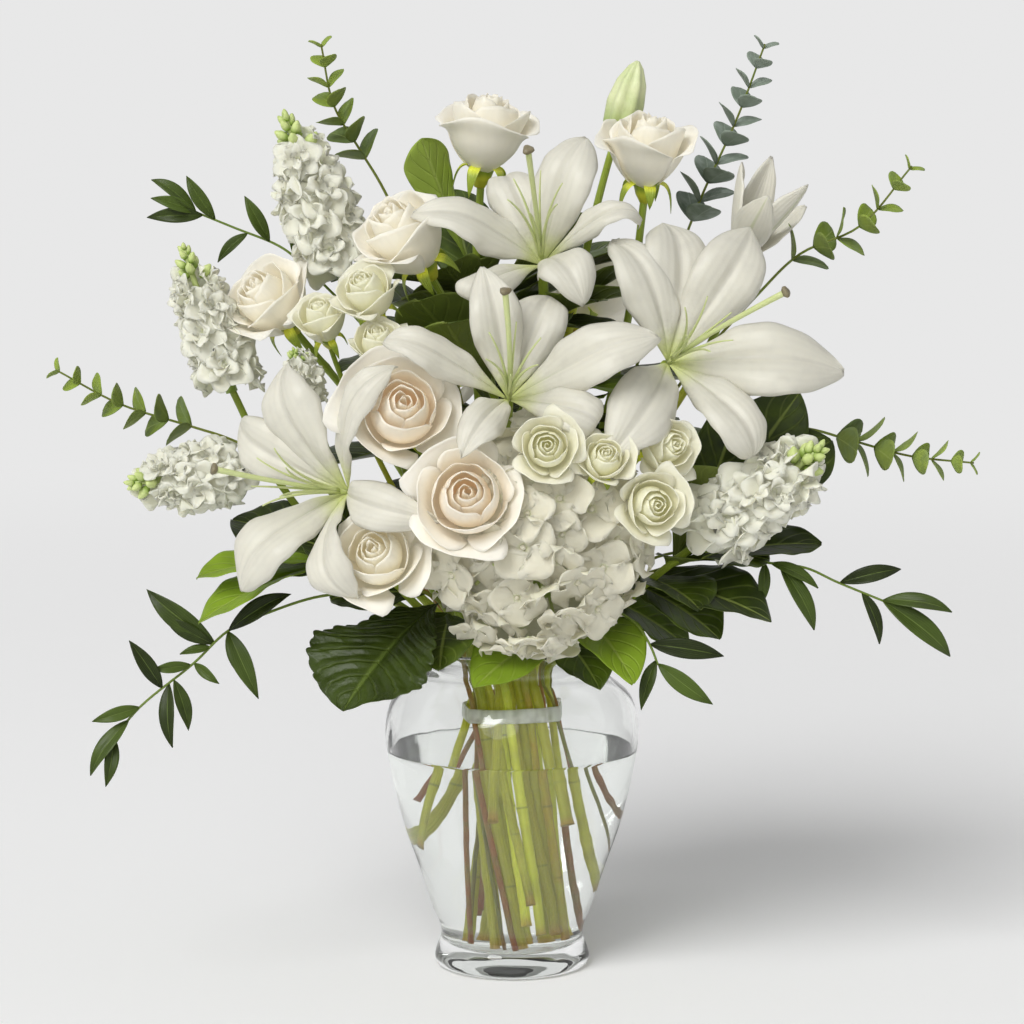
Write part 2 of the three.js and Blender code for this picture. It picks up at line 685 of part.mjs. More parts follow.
// Broad leaves: base and tip across, down and depth, then the width.
const BROAD_LEAVES = [
  {
    name: 'broad_leaves_left',
    joints: [at(420, 590, -50), at(330, 560, -40)],
    leaves: [
      [at(450, 602, -92), at(343, 712, -112), 84], [at(300, 548, -62), at(196, 578, -84), 30],
      [at(296, 570, -70), at(198, 624, -92), 32], [at(330, 540, -30), at(232, 520, -10), 44],
    ],
  },
  {
    name: 'broad_leaves_right',
    joints: [at(600, 590, -50), at(690, 560, -40)],
    leaves: [
      [at(640, 590, -60), at(772, 622, -80), 56], [at(566, 604, -54), at(634, 684, -116), 44],
      [at(530, 630, -46), at(474, 688, -98), 40], [at(700, 540, -30), at(822, 545, -36), 40],
      [at(720, 450, -24), at(832, 440, -30), 52],
    ],
  },
  {
    name: 'broad_leaves_top',
    joints: [at(500, 420, 30), at(470, 260, 30)],
    leaves: [
      [at(440, 215, -14), at(421, 138, -2), 32], [at(500, 250, 20), at(560, 178, 14), 40],
      [at(520, 330, -30), at(612, 335, -44), 50], [at(440, 320, -8), at(372, 260, 20), 44],
      [at(470, 400, 40), at(370, 320, 92), 46], [at(500, 340, 30), at(620, 240, 80), 50],
      [at(490, 300, 30), at(450, 190, 70), 46],
    ],
  },
  {
    name: 'broad_leaves_back',
    joints: [at(512, 520, 70), at(520, 440, 100)],
    leaves: [
      [at(540, 560, 74), at(640, 600, 150), 52], [at(480, 560, 74), at(380, 610, 150), 52],
      [at(512, 500, 90), at(512, 560, 176), 50], [at(560, 470, 90), at(680, 420, 128), 50],
      [at(470, 460, 92), at(350, 460, 130), 50], [at(530, 420, 104), at(510, 310, 150), 50],
    ],
  },
];

// ---- stems ----

const NECK = new THREE.Vector3(0, 0, NECK_HEIGHT);

/** Where a stem to a head leaves the neck: the farther it leans, the farther out. */
function neckPlace(head) {
  const lean = head.clone().sub(NECK);
  const angle = Math.atan2(Math.hypot(lean.x, lean.y), Math.max(lean.z, 1));
  const out = new THREE.Vector2(lean.x, lean.y).normalize();
  return out.multiplyScalar((STEM_SPACE * angle) / (Math.PI / 2));
}

/** Moves the stems apart in the neck until each has room; those of one bunch may touch. */
function makeRoom(shoots) {
  for (let round = 0; round < MAKING_ROOM_ROUNDS; round += 1) {
    for (const one of shoots) {
      for (const other of shoots) {
        const away = one.spot.clone().sub(other.spot);
        const bunched = one.owner === other.owner;
        const room = (one.radius + other.radius) * (bunched ? 0.8 : 1) + (bunched ? 0 : STEM_ROOM);
        if (one !== other && away.length() < room) {
          away.setLength((room - away.length()) / 2 + 0.01);
          one.spot.add(away);
          other.spot.sub(away);
        }
      }
    }
    for (const one of shoots) {
      const pull = one.middle();
      one.spot.lerp(pull, 0.1).clampLength(0, STEM_SPACE - one.radius);
    }
  }
}

// How far below its head a stem may bend, as shares of its length: the first that meets no other stem.
const BENDS = [0.42, 0.34, 0.5, 0.27, 0.58, 0.2, 0.64];

/** Lays the stems of one owner: aslant through the water to the neck, then on and bent up to each head. */
function layRoutes(owner, share) {
  for (const shoot of shoots.filter((one) => one.owner === owner)) {
    const neck = new THREE.Vector3(shoot.spot.x, shoot.spot.y, NECK_HEIGHT);
    const bend = shoot.end.clone().addScaledVector(shoot.back, -share * shoot.end.distanceTo(neck));
    const beyond = shoot.sprig ? shoot.sprig.points.slice(1) : [];
    shoot.route = [shoot.foot, ...bent(neck, bend, shoot.end, 3), ...beyond];
  }
}

const lilyRoot = ({ throat, axis }) => throat.clone().addScaledVector(axis, -LILY_THROAT - 2);
const roseRoot = ({ centre, axis, size }) => centre.clone().addScaledVector(axis, -0.43 * size);
const spikeRoot = ({ base, tip }) => base.clone().addScaledVector(tip.clone().sub(base).normalize(), 4);
const lilyShoot = (one) => ({ end: lilyRoot(one), back: one.axis });
const roseShoot = (one) => ({ end: roseRoot(one), back: one.axis, calyx: one.size * 0.17 });
const spikeShoot = (one) => ({ end: spikeRoot(one), back: one.tip.clone().sub(one.base).normalize() });
const halfOpenShoot = ({ base, tips }) => ({ end: base, back: tips[0].clone().sub(base).normalize() });
const budShoot = ({ base, tip }) => ({ end: base, back: tip.clone().sub(base).normalize() });

// Stems that are one bunch, and side shoots that leave a stem at its fork.
const STALKS = [
  { name: 'lily_stem_top', radius: 3.6, shoots: [lilyShoot(LILIES[0])], side: [budShoot(BUD)] },
  { name: 'lily_stem_middle', radius: 3.6, shoots: [lilyShoot(LILIES[1])], side: [] },
  {
    name: 'lily_stem_right', radius: 3.6,
    shoots: [lilyShoot(LILIES[2])], side: [halfOpenShoot(HALF_OPEN)],
  },
  { name: 'lily_stem_left', radius: 3.6, shoots: [lilyShoot(LILIES[3])], side: [] },
  { name: 'rose_stems_left', radius: 2.8, shoots: [2, 3, 6].map((k) => roseShoot(ROSES[k])), side: [] },
  { name: 'rose_stems_front', radius: 2.8, shoots: [4, 5].map((k) => roseShoot(ROSES[k])), side: [] },
  { name: 'rose_stems_top', radius: 2.8, shoots: [0, 1].map((k) => roseShoot(ROSES[k])), side: [] },
  { name: 'rose_stems_back', radius: 2.8, shoots: [7, 8].map((k) => roseShoot(ROSES[k])), side: [] },
  {
    name: 'spray_rose_stem_right', radius: 2.4,
    shoots: [roseShoot(SPRAY_ROSES[1])], side: [0, 2, 3].map((k) => roseShoot(SPRAY_ROSES[k])),
  },
  {
    name: 'spray_rose_stem_left', radius: 2.4,
    shoots: [roseShoot(SPRAY_ROSES[6])], side: [4, 5].map((k) => roseShoot(SPRAY_ROSES[k])),
  },
  {
    name: 'hydrangea_stem', radius: 3.4, side: [],
    shoots: [{
      end: HYDRANGEA.centre.clone().addScaledVector(HYDRANGEA.axis, -0.4 * HYDRANGEA.radius),
      back: toward(0, -0.7, 0.7),
    }],
  },
  { name: 'stock_stems_left', radius: 2.6, shoots: [0, 1, 2, 4].map((k) => spikeShoot(STOCKS[k])), side: [] },
  { name: 'stock_stem_right', radius: 2.6, shoots: [spikeShoot(STOCKS[3])], side: [] },
];

// The stems of the greens go on from the neck to the inner end of each sprig.
const SPRIG_STEMS = [
  ...EUCALYPTUS.map((one) => ({ ...one, radius: 1.5 })),
  ...RUSCUS.map((one) => ({ ...one, radius: 1.1, points: one.points.map((place) => at(...place)) })),
  ...BROAD_LEAVES.map((one) => ({ ...one, radius: 1.8, points: one.joints })),
];

const random = draws(11);
const shoots = [
  ...STALKS.flatMap(({ name: owner, radius, shoots: own }) => (
    own.map((shoot) => ({ ...shoot, owner, radius }))
  )),
  ...SPRIG_STEMS.map((sprig) => ({
    owner: sprig.name, radius: sprig.radius, end: sprig.points[0], sprig,
    back: sprig.points[1].clone().sub(sprig.points[0]).normalize(),
  })),
];
for (const shoot of shoots) {
  shoot.spot = neckPlace(shoot.end);
}
for (const shoot of shoots) {
  const bunch = shoots.filter((other) => other.owner === shoot.owner);
  shoot.middle = () => bunch.reduce((sum, one) => sum.add(one.spot), new THREE.Vector2())
    .divideScalar(bunch.length);
}
makeRoom(shoots);
for (const shoot of shoots) {
  const foot = shoot.spot.clone().rotateAround(new THREE.Vector2(), STEM_TWIST);
  shoot.foot = new THREE.Vector3(foot.x, foot.y, STEM_FOOT + 6 * random());
}

/** The green of a bunch: its stems, their side shoots and the calyx under each rose. */
function stalkParts({ name, radius, side }, grow) {
  const mains = shoots.filter((shoot) => shoot.owner === name);
  const parts = mains.map(({ route }) => stem(route, radius, grow));
  const fork = mains[0].route[2];
  for (const { end, back } of side) {
    const bend = end.clone().addScaledVector(back, -0.35 * end.distanceTo(fork));
    parts.push(stem(bent(fork, bend, end, 3), 0.75 * radius, grow));
  }
  for (const { end, back, calyx } of [...mains, ...side]) {
    if (calyx) {
      const knob = new THREE.OctahedronGeometry(calyx + grow, 0);
      parts.push(knob.translate(end.x, end.y, end.z));
    }
  }
  return parts;
}

/** The point of a route, short of its very end, that lies nearest to a place. */
function nearest(route, place) {
  return new Route(route).getPoints(24 * (route.length - 1)).slice(0, -2)
    .reduce((best, one) => (one.distanceTo(place) < best.distanceTo(place) ? one : best));
}

const routeOf = (name) => shoots.find((shoot) => shoot.owner === name).route;
const sprigStem = (name, radius, grow) => [stem(routeOf(name), radius, grow)];

const FRONT_FACE = toward(0.1, -0.75, 0.65);

/** The base, tip, width and upper side of each leaf of a ruscus. */
function ruscusLeaves({ name, depth, leaves }) {
  const route = routeOf(name).slice(-4);
  const sway = draws(depth * depth);
  return leaves.map(([fromX, fromY, toX, toY]) => {
    const from = nearest(route, at(fromX, fromY, depth));
    const to = at(toX, toY, from.y - 10 * sway());
    const face = FRONT_FACE.clone().add(toward(sway() - 0.5, -0.5, sway() - 0.5)).normalize();
    return { from, to, width: 0.3 * from.distanceTo(to) + 2, face, arch: 0.12, fullest: 0.5 };
  });
}

/** The base, tip, width and upper side of each broad leaf. */
function broadLeaves({ name, leaves }) {
  const route = routeOf(name).slice(-4);
  return leaves.map(([start, to, width]) => {
    const from = nearest(route, start);
    const side = from.clone().add(to).setZ(0).normalize();
    const face = side.multiplyScalar(0.5).add(toward(0, -0.3, 1)).normalize();
    const stalk = from.distanceTo(start) / from.distanceTo(to);
    return { from, to, width, face, arch: 0.14, fullest: 0.48 + 0.4 * stalk };
  });
}

/** The piece of a sprig; leaves() gives the base, tip, width and upper side of each of its leaves. */
const leafySprig = ({ name, look, radius, leaves }) => ({
  name,
  look,
  spine: (grow) => sprigStem(name, radius, grow),
  growth: (grow) => leaves().map((one) => leaf(one, grow)),
});

// ---- the pieces ----

const LOOKS = {
  glass: { color: 0xdfe8e4, roughness: 0.05, metalness: 0, opacity: 0.3, transparent: true },
  water: { color: 0xe6efe9, roughness: 0.05, metalness: 0, opacity: 0.35, transparent: true },
  clear_band: { color: 0xeef2ee, roughness: 0.2, metalness: 0 },
  lily_white: { color: 0xf2f0ea, roughness: 0.55, metalness: 0 },
  lily_green: { color: 0xb9c68a, roughness: 0.5, metalness: 0 },
  rose_cream: { color: 0xf1e4cf, roughness: 0.6, metalness: 0 },
  spray_white: { color: 0xeeeedd, roughness: 0.6, metalness: 0 },
  hydrangea_white: { color: 0xf3f1e8, roughness: 0.65, metalness: 0 },
  stock_white: { color: 0xf2f2e6, roughness: 0.65, metalness: 0 },
  stem_green: { color: 0x8ba03c, roughness: 0.5, metalness: 0 },
  eucalyptus_green: { color: 0x5c7040, roughness: 0.6, metalness: 0 },
  ruscus_green: { color: 0x24401c, roughness: 0.4, metalness: 0 },
  leaf_green: { color: 0x3f6a1e, roughness: 0.4, metalness: 0 },
};

const pieces = [
  ...STALKS.map((stalk) => ({
    name: stalk.name, look: 'stem_green', spine: (grow) => stalkParts(stalk, grow),
  })),
  ...LILIES.map((one) => ({ name: one.name, look: 'lily_white', growth: (grow) => lily(one, grow) })),
  {
    name: 'lily_half_open', look: 'lily_white',
    growth: (grow) => halfOpenLily(HALF_OPEN, grow),
  },
  { name: 'lily_bud', look: 'lily_green', growth: (grow) => lilyBud(BUD, grow) },
  ...ROSES.map((one, k) => ({
    name: one.name, look: 'rose_cream', dense: true,
    growth: () => rose({ ...one, rings: OPEN_RINGS, seed: 100 + k }),
  })),
  ...SPRAY_ROSES.map((one, k) => ({
    name: one.name, look: 'spray_white', dense: true,
    growth: () => rose({ ...one, rings: SPRAY_RINGS, seed: 200 + k }),
  })),
  { name: 'hydrangea', look: 'hydrangea_white', dense: true, growth: () => hydrangea(HYDRANGEA) },
  ...STOCKS.map((one, k) => ({
    name: one.name, look: 'stock_white', dense: true, growth: () => stockSpike({ ...one, seed: 300 + k }),
  })),
  ...EUCALYPTUS.map((one) => ({
    name: one.name, look: 'eucalyptus_green',
    spine: (grow) => sprigStem(one.name, 1.5, grow), growth: (grow) => eucalyptus(one, grow),
  })),
  ...RUSCUS.map((one) => leafySprig({
    name: one.name, look: 'ruscus_green', radius: 1.1, leaves: () => ruscusLeaves(one),
  })),
  ...BROAD_LEAVES.map((one) => leafySprig({
    name: one.name, look: 'leaf_green', radius: 1.8, leaves: () => broadLeaves(one),
  })),
];

/** A disc as wide as all the stems at the tie, with some room round them. */
function tiePlate(room, height) {
  return wasm.Manifold.hull(shoots.map(({ foot, route, radius }) => {
    const neck = route[1];
    const place = foot.clone().lerp(neck, (TIE_HEIGHT - foot.z) / (neck.z - foot.z));
    const disc = new THREE.CylinderGeometry(radius + room, radius + room, height, 8).rotateX(Math.PI / 2);
    return body(disc.translate(place.x, place.y, place.z));
  }));
}

/** The clear band that holds the stems together above the water. */
function stemBand() {
  return tiePlate(TIE_ROOM + TIE_THICKNESS, TIE_WIDTH).subtract(tiePlate(TIE_ROOM, 2 * TIE_WIDTH));
}

/** Turns a solid into a named mesh. */
function meshOf(name, solid, look) {
  const { vertProperties, triVerts, numProp } = solid.getMesh();
  const geometry = new THREE.BufferGeometry();
  const corners = new Float32Array(triVerts.length * 3);
  triVerts.forEach((vertex, k) => {
    const start = vertex * numProp;
    corners.set(vertProperties.subarray(start, start + 3), 3 * k);
  });
  geometry.setAttribute('position', new THREE.BufferAttribute(corners, 3));
  geometry.computeVertexNormals();
  const mesh = new THREE.Mesh(geometry, new THREE.MeshStandardMaterial(LOOKS[look]));
  mesh.name = name;
  return mesh;
}

const group = new THREE.Group();
const guards = [{ owner: 'vase', solid: fuse(vase(GAP)) }];
const others = (name) => guards.filter(({ owner }) => owner !== name).map(({ solid }) => solid);
const cores = new Map();

for (const { name, spine } of pieces.filter((piece) => piece.spine)) {
  const shared = BENDS.map((share) => {
    layRoutes(name, share);
    const stems = fuse(spine(0));
    return Math.round(stems.volume() - clearOf(stems, others(name)).volume());
  });
  layRoutes(name, BENDS[shared.indexOf(Math.min(...shared))]);
  cores.set(name, largest(clearOf(fuse(spine(0)), others(name))));
  guards.push({ owner: name, solid: fuse(spine(GAP)) });
}
for (const { name, look, growth, dense } of pieces) {
  let solid = cores.get(name);
  if (growth) {
    const clear = clearOf(fuse(growth(0)), others(name));
    guards.push({ owner: name, solid: dense ? swollenHull(clear, GAP) : fuse(growth(GAP)) });
    solid = solid ? solid.add(clear) : clear;
  }
  group.add(meshOf(name, tidied(solid), look));
}
group.add(meshOf('stem_band', tidied(clearOf(stemBand(), others('none'))), 'clear_band'));
group.add(meshOf('vase', fuse(vase(0)), 'glass'));
group.add(meshOf('water', tidied(clearOf(fuse(water()), others('vase'))), 'water'));

export default group;
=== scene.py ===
"""Lilies in a vase, dressed: white lilies, cream roses, a hydrangea, stock and mixed greens in a glass vase.

Shapes are worked out in millimetres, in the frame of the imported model, and become metres in each mesh.
"""
import math

import bpy
import numpy as np
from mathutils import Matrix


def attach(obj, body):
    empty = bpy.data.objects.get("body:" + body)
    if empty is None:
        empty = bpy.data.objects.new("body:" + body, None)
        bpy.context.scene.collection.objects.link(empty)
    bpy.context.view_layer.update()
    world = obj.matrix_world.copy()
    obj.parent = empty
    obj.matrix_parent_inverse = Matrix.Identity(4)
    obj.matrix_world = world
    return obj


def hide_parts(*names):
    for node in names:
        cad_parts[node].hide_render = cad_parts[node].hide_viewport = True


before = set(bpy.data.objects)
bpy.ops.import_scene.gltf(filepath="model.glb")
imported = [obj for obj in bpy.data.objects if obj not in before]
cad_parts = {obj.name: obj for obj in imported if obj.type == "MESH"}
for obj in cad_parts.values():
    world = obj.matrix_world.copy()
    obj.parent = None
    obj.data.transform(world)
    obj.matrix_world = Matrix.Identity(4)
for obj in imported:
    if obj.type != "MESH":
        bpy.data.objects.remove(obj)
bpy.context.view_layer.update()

bl_info = {
    "name": "Lilies in a vase",
    "version": (1, 0, 0),
    "blender": (4, 5, 0),
    "location": "View3D > Sidebar > Lilies",
    "description": "Builds a bunch of lilies, roses, hydrangea, stock and greens in a glass vase of water",
    "category": "Add Mesh",
}

MM = 0.001
BODY = "root"
GOLDEN = math.pi * (3 - math.sqrt(5))

# ---- driving dimensions, millimetres ----

# The vase, the floor inside it, and the height of the band that ties the stems.
FOOT_RADIUS = 48.5
WAIST_RADIUS = 44.5
BELLY_RADIUS = 79.0
NECK_RADIUS = 55.0
RIM_RADIUS = 65.0
FLOOR_HEIGHT = 10.0
NECK_HEIGHT = 188.0
TIE_HEIGHT = 160.0

# The inside of the vase where the feet of the stems stand: a radius at each height.
WALL_HEIGHTS = (10.0, 34.0, 61.0, 90.0, 128.0)
WALL_RADII = (33.0, 45.0, 55.0, 65.0, 74.0)

# The stems in the neck: how far from the middle they may stand, the gap between those of two bunches, the
# share of their two radii that those of one bunch keep, how far each goes to the middle of its bunch in a
# round, and the number of rounds.
STEM_SPACE = 38.0
STEM_ROOM = 1.5
BUNCHED_ROOM = 0.8
BUNCHING = 0.1
MAKING_ROOM_ROUNDS = 300

# The stems in the water: the lowest foot, how far they turn round the vase on the way down, the power that
# spreads the feet toward the wall, the gap that is kept at some levels, the share of what lacks that a
# round makes up, and the number of rounds.
STEM_FOOT = 15.0
STEM_TWIST = math.radians(62)
STEM_SPREAD = 0.3
FEET_ROOM = 1.2
FEET_LEVELS = (25.0, 50.0, 75.0, 100.0, 125.0, 150.0, 170.0)
FEET_EASING = 0.3
FEET_ROUNDS = 260

# The band that ties the stems: the gap to the stems that its middle keeps, its thickness and its height.
BAND_GAP = 1.4
BAND_THICKNESS = 1.8
BAND_HEIGHT = 6.4

# A stem whose draw is above the first number is cut shorter, by up to the second.
SHORT_FROM = 0.35
MOST_CUT = 95.0

# Knots: the share of a stem's length between two, the share that one takes up, and how much it swells.
KNOTS_APART = 0.13
KNOT_LENGTH = 0.008
KNOT_SWELL = 0.16

# How deep the funnel of a lily is, and how thick tepals, petals and leaves are.
LILY_THROAT = 20.0
TEPAL_THICKNESS = 1.3
PETAL_THICKNESS = 0.8
LEAF_THICKNESS = 0.8
# The petals of a small floret, as a share of its radius.
FLORET_THICKNESS = 0.06
# A broad leaf wider than this one is crinkled.
WIDE_LEAF = 60.0

# A blade keeps this share of its thickness at its rim.
RIM_SHARE = 0.3
# A ribbon's first and last rows stop just short of its two pointed ends.
FIRST_ROW, LAST_ROW = 0.012, 0.996
# How wide the valley along a rib is, in half widths, how deep teeth notch a rim, how much finer a frill is
# than a wave, and how far side veins slant toward the tip.
VALLEY_WIDTH = 0.13
TOOTH_DEPTH = 0.06
FRILL_FINER = 3.4
VEIN_SLANT = 2.2

# ---- the front view ----

# Each flower and leaf is placed by where it shows from the front, in steps across and down a square view
# of 1024 steps, and by its depth in millimetres, which is negative toward the viewer.
VIEW_SIZE = 1024
VIEW_MIDDLE = VIEW_SIZE / 2
VIEW_FOCAL = 3064.5
VIEW_DISTANCE = 1900.0
VIEW_HEIGHT = 285.0
VIEW_TILT = math.radians(6.5)
UP = np.array([0, 0, 1.0])
ACROSS = np.array([1.0, 0, 0])
AHEAD = np.array([0, math.cos(VIEW_TILT), -math.sin(VIEW_TILT)])
ABOVE = np.array([0, math.sin(VIEW_TILT), math.cos(VIEW_TILT)])
EYE = UP * VIEW_HEIGHT - VIEW_DISTANCE * AHEAD


def at(across, down, depth):
    """The place that shows at a step across and down the view, where its ray meets a depth."""
    ray = AHEAD * VIEW_FOCAL + ACROSS * (across - VIEW_MIDDLE) + ABOVE * (VIEW_MIDDLE - down)
    return EYE + ray * (depth - EYE[1]) / ray[1]


def unit(vectors):
    """Vectors divided by their lengths."""
    vectors = np.asarray(vectors, float)
    return vectors / np.maximum(np.linalg.norm(vectors, axis=-1, keepdims=True), 1e-9)


def toward(x, y, z):
    """The direction of three numbers, with a length of 1."""
    return unit([x, y, z])


def smooth(value, low, high):
    """0 below low, 1 above high, and s^2 (3 - 2s) of the share s of the way between."""
    share = np.clip((value - low) / (high - low), 0, 1)
    return share * share * (3 - 2 * share)


def draws(seed):
    """Draws between 0 and 1 that are the same on each run: a whole number is multiplied by 16807 and kept
    below 2^31 - 1, again and again, and divided by that."""
    most = 2**31 - 1
    state = seed
    while True:
        state = state * 16807 % most
        yield state / most


def basis(out, spin=0.0):
    """Three axes, as columns, with the third along out: the first two are turned about it by spin."""
    out = unit(out)
    helper = np.where(np.abs(out[..., 2:]) > 0.9, [0.0, 1.0, 0.0], [0.0, 0.0, 1.0])
    side = unit(np.cross(helper, out))
    other = np.cross(out, side)
    spin = np.asarray(spin)[..., None]
    first = side * np.cos(spin) + other * np.sin(spin)
    return np.stack([first, np.cross(out, first), out], axis=-1)


def beside(turn, angle):
    """The direction at an angle round the third axis of a turn: its first axis times the cosine and its
    second times the sine."""
    return turn[:, 0] * math.cos(angle) + turn[:, 1] * math.sin(angle)


# ---- curves ----


def bent(start, bend, end, share):
    """A quadratic curve: (1-t)^2 of the start, 2t(1-t) of the bend and t^2 of the end."""
    t = np.asarray(share, float)[..., None]
    return (1 - t) ** 2 * start + 2 * t * (1 - t) * bend + t * t * end


def bent_way(start, bend, end, share):
    """The direction of that curve."""
    t = np.asarray(share, float)[..., None]
    return unit((1 - t) * (bend - start) + t * (end - bend))


def flowing(points, steps):
    """A smooth line through points: between two of them, the cubic whose ends point from neighbour to
    neighbour, with the knots as far apart as the square roots of the gaps."""
    points = np.asarray(points, float)
    ends = [2 * points[0] - points[1], *points, 2 * points[-1] - points[-2]]
    track = []
    for before, start, end, after in zip(ends, ends[1:], ends[2:], ends[3:]):
        steps_between = (start - before, end - start, after - end)
        gaps = [max(np.linalg.norm(step), 1e-6) ** 0.5 for step in steps_between]
        way_in = (start - before) / gaps[0] - (end - before) / (gaps[0] + gaps[1]) + (end - start) / gaps[1]
        way_out = (end - start) / gaps[1] - (after - start) / (gaps[1] + gaps[2]) + (after - end) / gaps[2]
        t = np.linspace(0, 1, steps, endpoint=False)[:, None]
        track.append(
            (2 * t**3 - 3 * t**2 + 1) * start + (t**3 - 2 * t**2 + t) * way_in * gaps[1]
            + (3 * t**2 - 2 * t**3) * end + (t**3 - t**2) * way_out * gaps[1]
        )
    return np.concatenate([*track, points[-1:]])


def spaced(line, count):
    """Points along a line and the directions there: a count of them evenly far apart, or one at each of
    the given shares of the line's length."""
    steps = np.linalg.norm(np.diff(line, axis=0), axis=1)
    length = np.concatenate([[0], np.cumsum(steps)])
    share = np.linspace(0, 1, count) if np.isscalar(count) else np.asarray(count)
    near = 0.01

    def point(part):
        """The places at shares of the length, each between the two points of the line beside it."""
        return np.stack([np.interp(part * length[-1], length, line[:, k]) for k in range(3)], axis=1)

    return point(share), unit(point(np.minimum(share + near, 1)) - point(np.maximum(share - near, 0)))


# ---- meshes ----


class Shells:
    """Closed shells gathered into one mesh. Each point has marks that the finishes read: how far along and
    across its shell it is, whether it is on the under side, and the tone and depth of the shell."""

    MARKS = ("along", "across", "under", "tone", "depth")

    def __init__(self):
        self.points = []
        self.faces = []
        self.marks = []
        self.size = 0

    def add(self, points, faces, along=0.0, across=0.0, under=0.0, tone=0.5, depth=0.0):
        """Takes in a shell: its points, its faces as lists of point numbers, and its marks."""
        points = points.reshape(-1, 3)
        marks = np.empty((len(points), len(self.MARKS)), np.float32)
        for k, mark in enumerate((along, across, under, tone, depth)):
            marks[:, k] = np.broadcast_to(np.asarray(mark, float).reshape(-1), (len(points),))
        self.points.append(points)
        self.marks.append(marks)
        self.faces.extend(face + self.size for face in faces)
        self.size += len(points)

    def thing(self, name, material):
        """Makes the mesh an object of the scene."""
        mesh = bpy.data.meshes.new(name)
        mesh.vertices.add(self.size)
        mesh.vertices.foreach_set("co", (np.concatenate(self.points) * MM).astype(np.float32).ravel())
        corners = np.concatenate([face.ravel() for face in self.faces]).astype(np.int32)
        sizes = np.concatenate([np.full(len(face), face.shape[1]) for face in self.faces])
        mesh.loops.add(len(corners))
        mesh.loops.foreach_set("vertex_index", corners)
        mesh.polygons.add(len(sizes))
        mesh.polygons.foreach_set("loop_start", (np.cumsum(sizes) - sizes).astype(np.int32))
        mesh.update(calc_edges=True)
        mesh.polygons.foreach_set("use_smooth", np.ones(len(sizes), bool))
        marks = np.concatenate(self.marks)
        for k, mark in enumerate(self.MARKS):
            attribute = mesh.attributes.new(mark, "FLOAT", "POINT")
            attribute.data.foreach_set("value", np.ascontiguousarray(marks[:, k]))
        mesh.materials.append(material)
        made = bpy.data.objects.new(name, mesh)
        bpy.context.scene.collection.objects.link(made)
        return made

    def piece(self, name, material, nodes, slot):
        """Makes the mesh a piece of the bunch that stands for CAD nodes."""
        made = self.thing(name, material)
        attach(made, BODY)
        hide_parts(*nodes)


def sheet_faces(rows, columns):
    """The four-sided faces of a sheet of points, of its under side and of the rim between the two."""
    index = np.arange(rows * columns).reshape(rows, columns)
    upper = np.stack([index[:-1, :-1], index[1:, :-1], index[1:, 1:], index[:-1, 1:]], -1).reshape(-1, 4)
    lower = upper[:, ::-1] + rows * columns
    rim = np.concatenate([index[:, 0], index[-1, 1:], index[-2::-1, -1], index[0, -2:0:-1]])
    after = np.roll(rim, -1)
    edge = np.stack([after, rim, rim + rows * columns, after + rows * columns], -1)
    return np.concatenate([upper, lower, edge])


def blade(shells, sheet, thickness, tone=0.5, depth=0.0):
    """Gives a sheet of middle points a body: each point goes half the thickness to both sides along the
    sheet's normal, times a share that falls from 1 in the middle to that of the rim, as the square root of
    1 - across^2 and of 1 - (2 along - 1)^6."""
    rows, columns = sheet.shape[:2]
    normal = unit(np.cross(np.gradient(sheet, axis=0), np.gradient(sheet, axis=1)))
    along = np.linspace(0, 1, rows)[:, None]
    across = np.linspace(-1, 1, columns)[None, :]
    body = np.sqrt(np.clip(1 - across**2, 0, 1)) * np.sqrt(np.clip(1 - (2 * along - 1) ** 6, 0, 1))
    half = (thickness / 2 * (RIM_SHARE + (1 - RIM_SHARE) * body))[..., None]
    points = np.stack([sheet + normal * half, sheet - normal * half])
    grid = np.broadcast_to(along, (rows, columns))
    span = np.broadcast_to(across, (rows, columns))
    shells.add(
        points, [sheet_faces(rows, columns)], np.stack([grid, grid]), np.stack([span, span]),
        np.repeat([0.0, 1.0], rows * columns), tone, depth,
    )


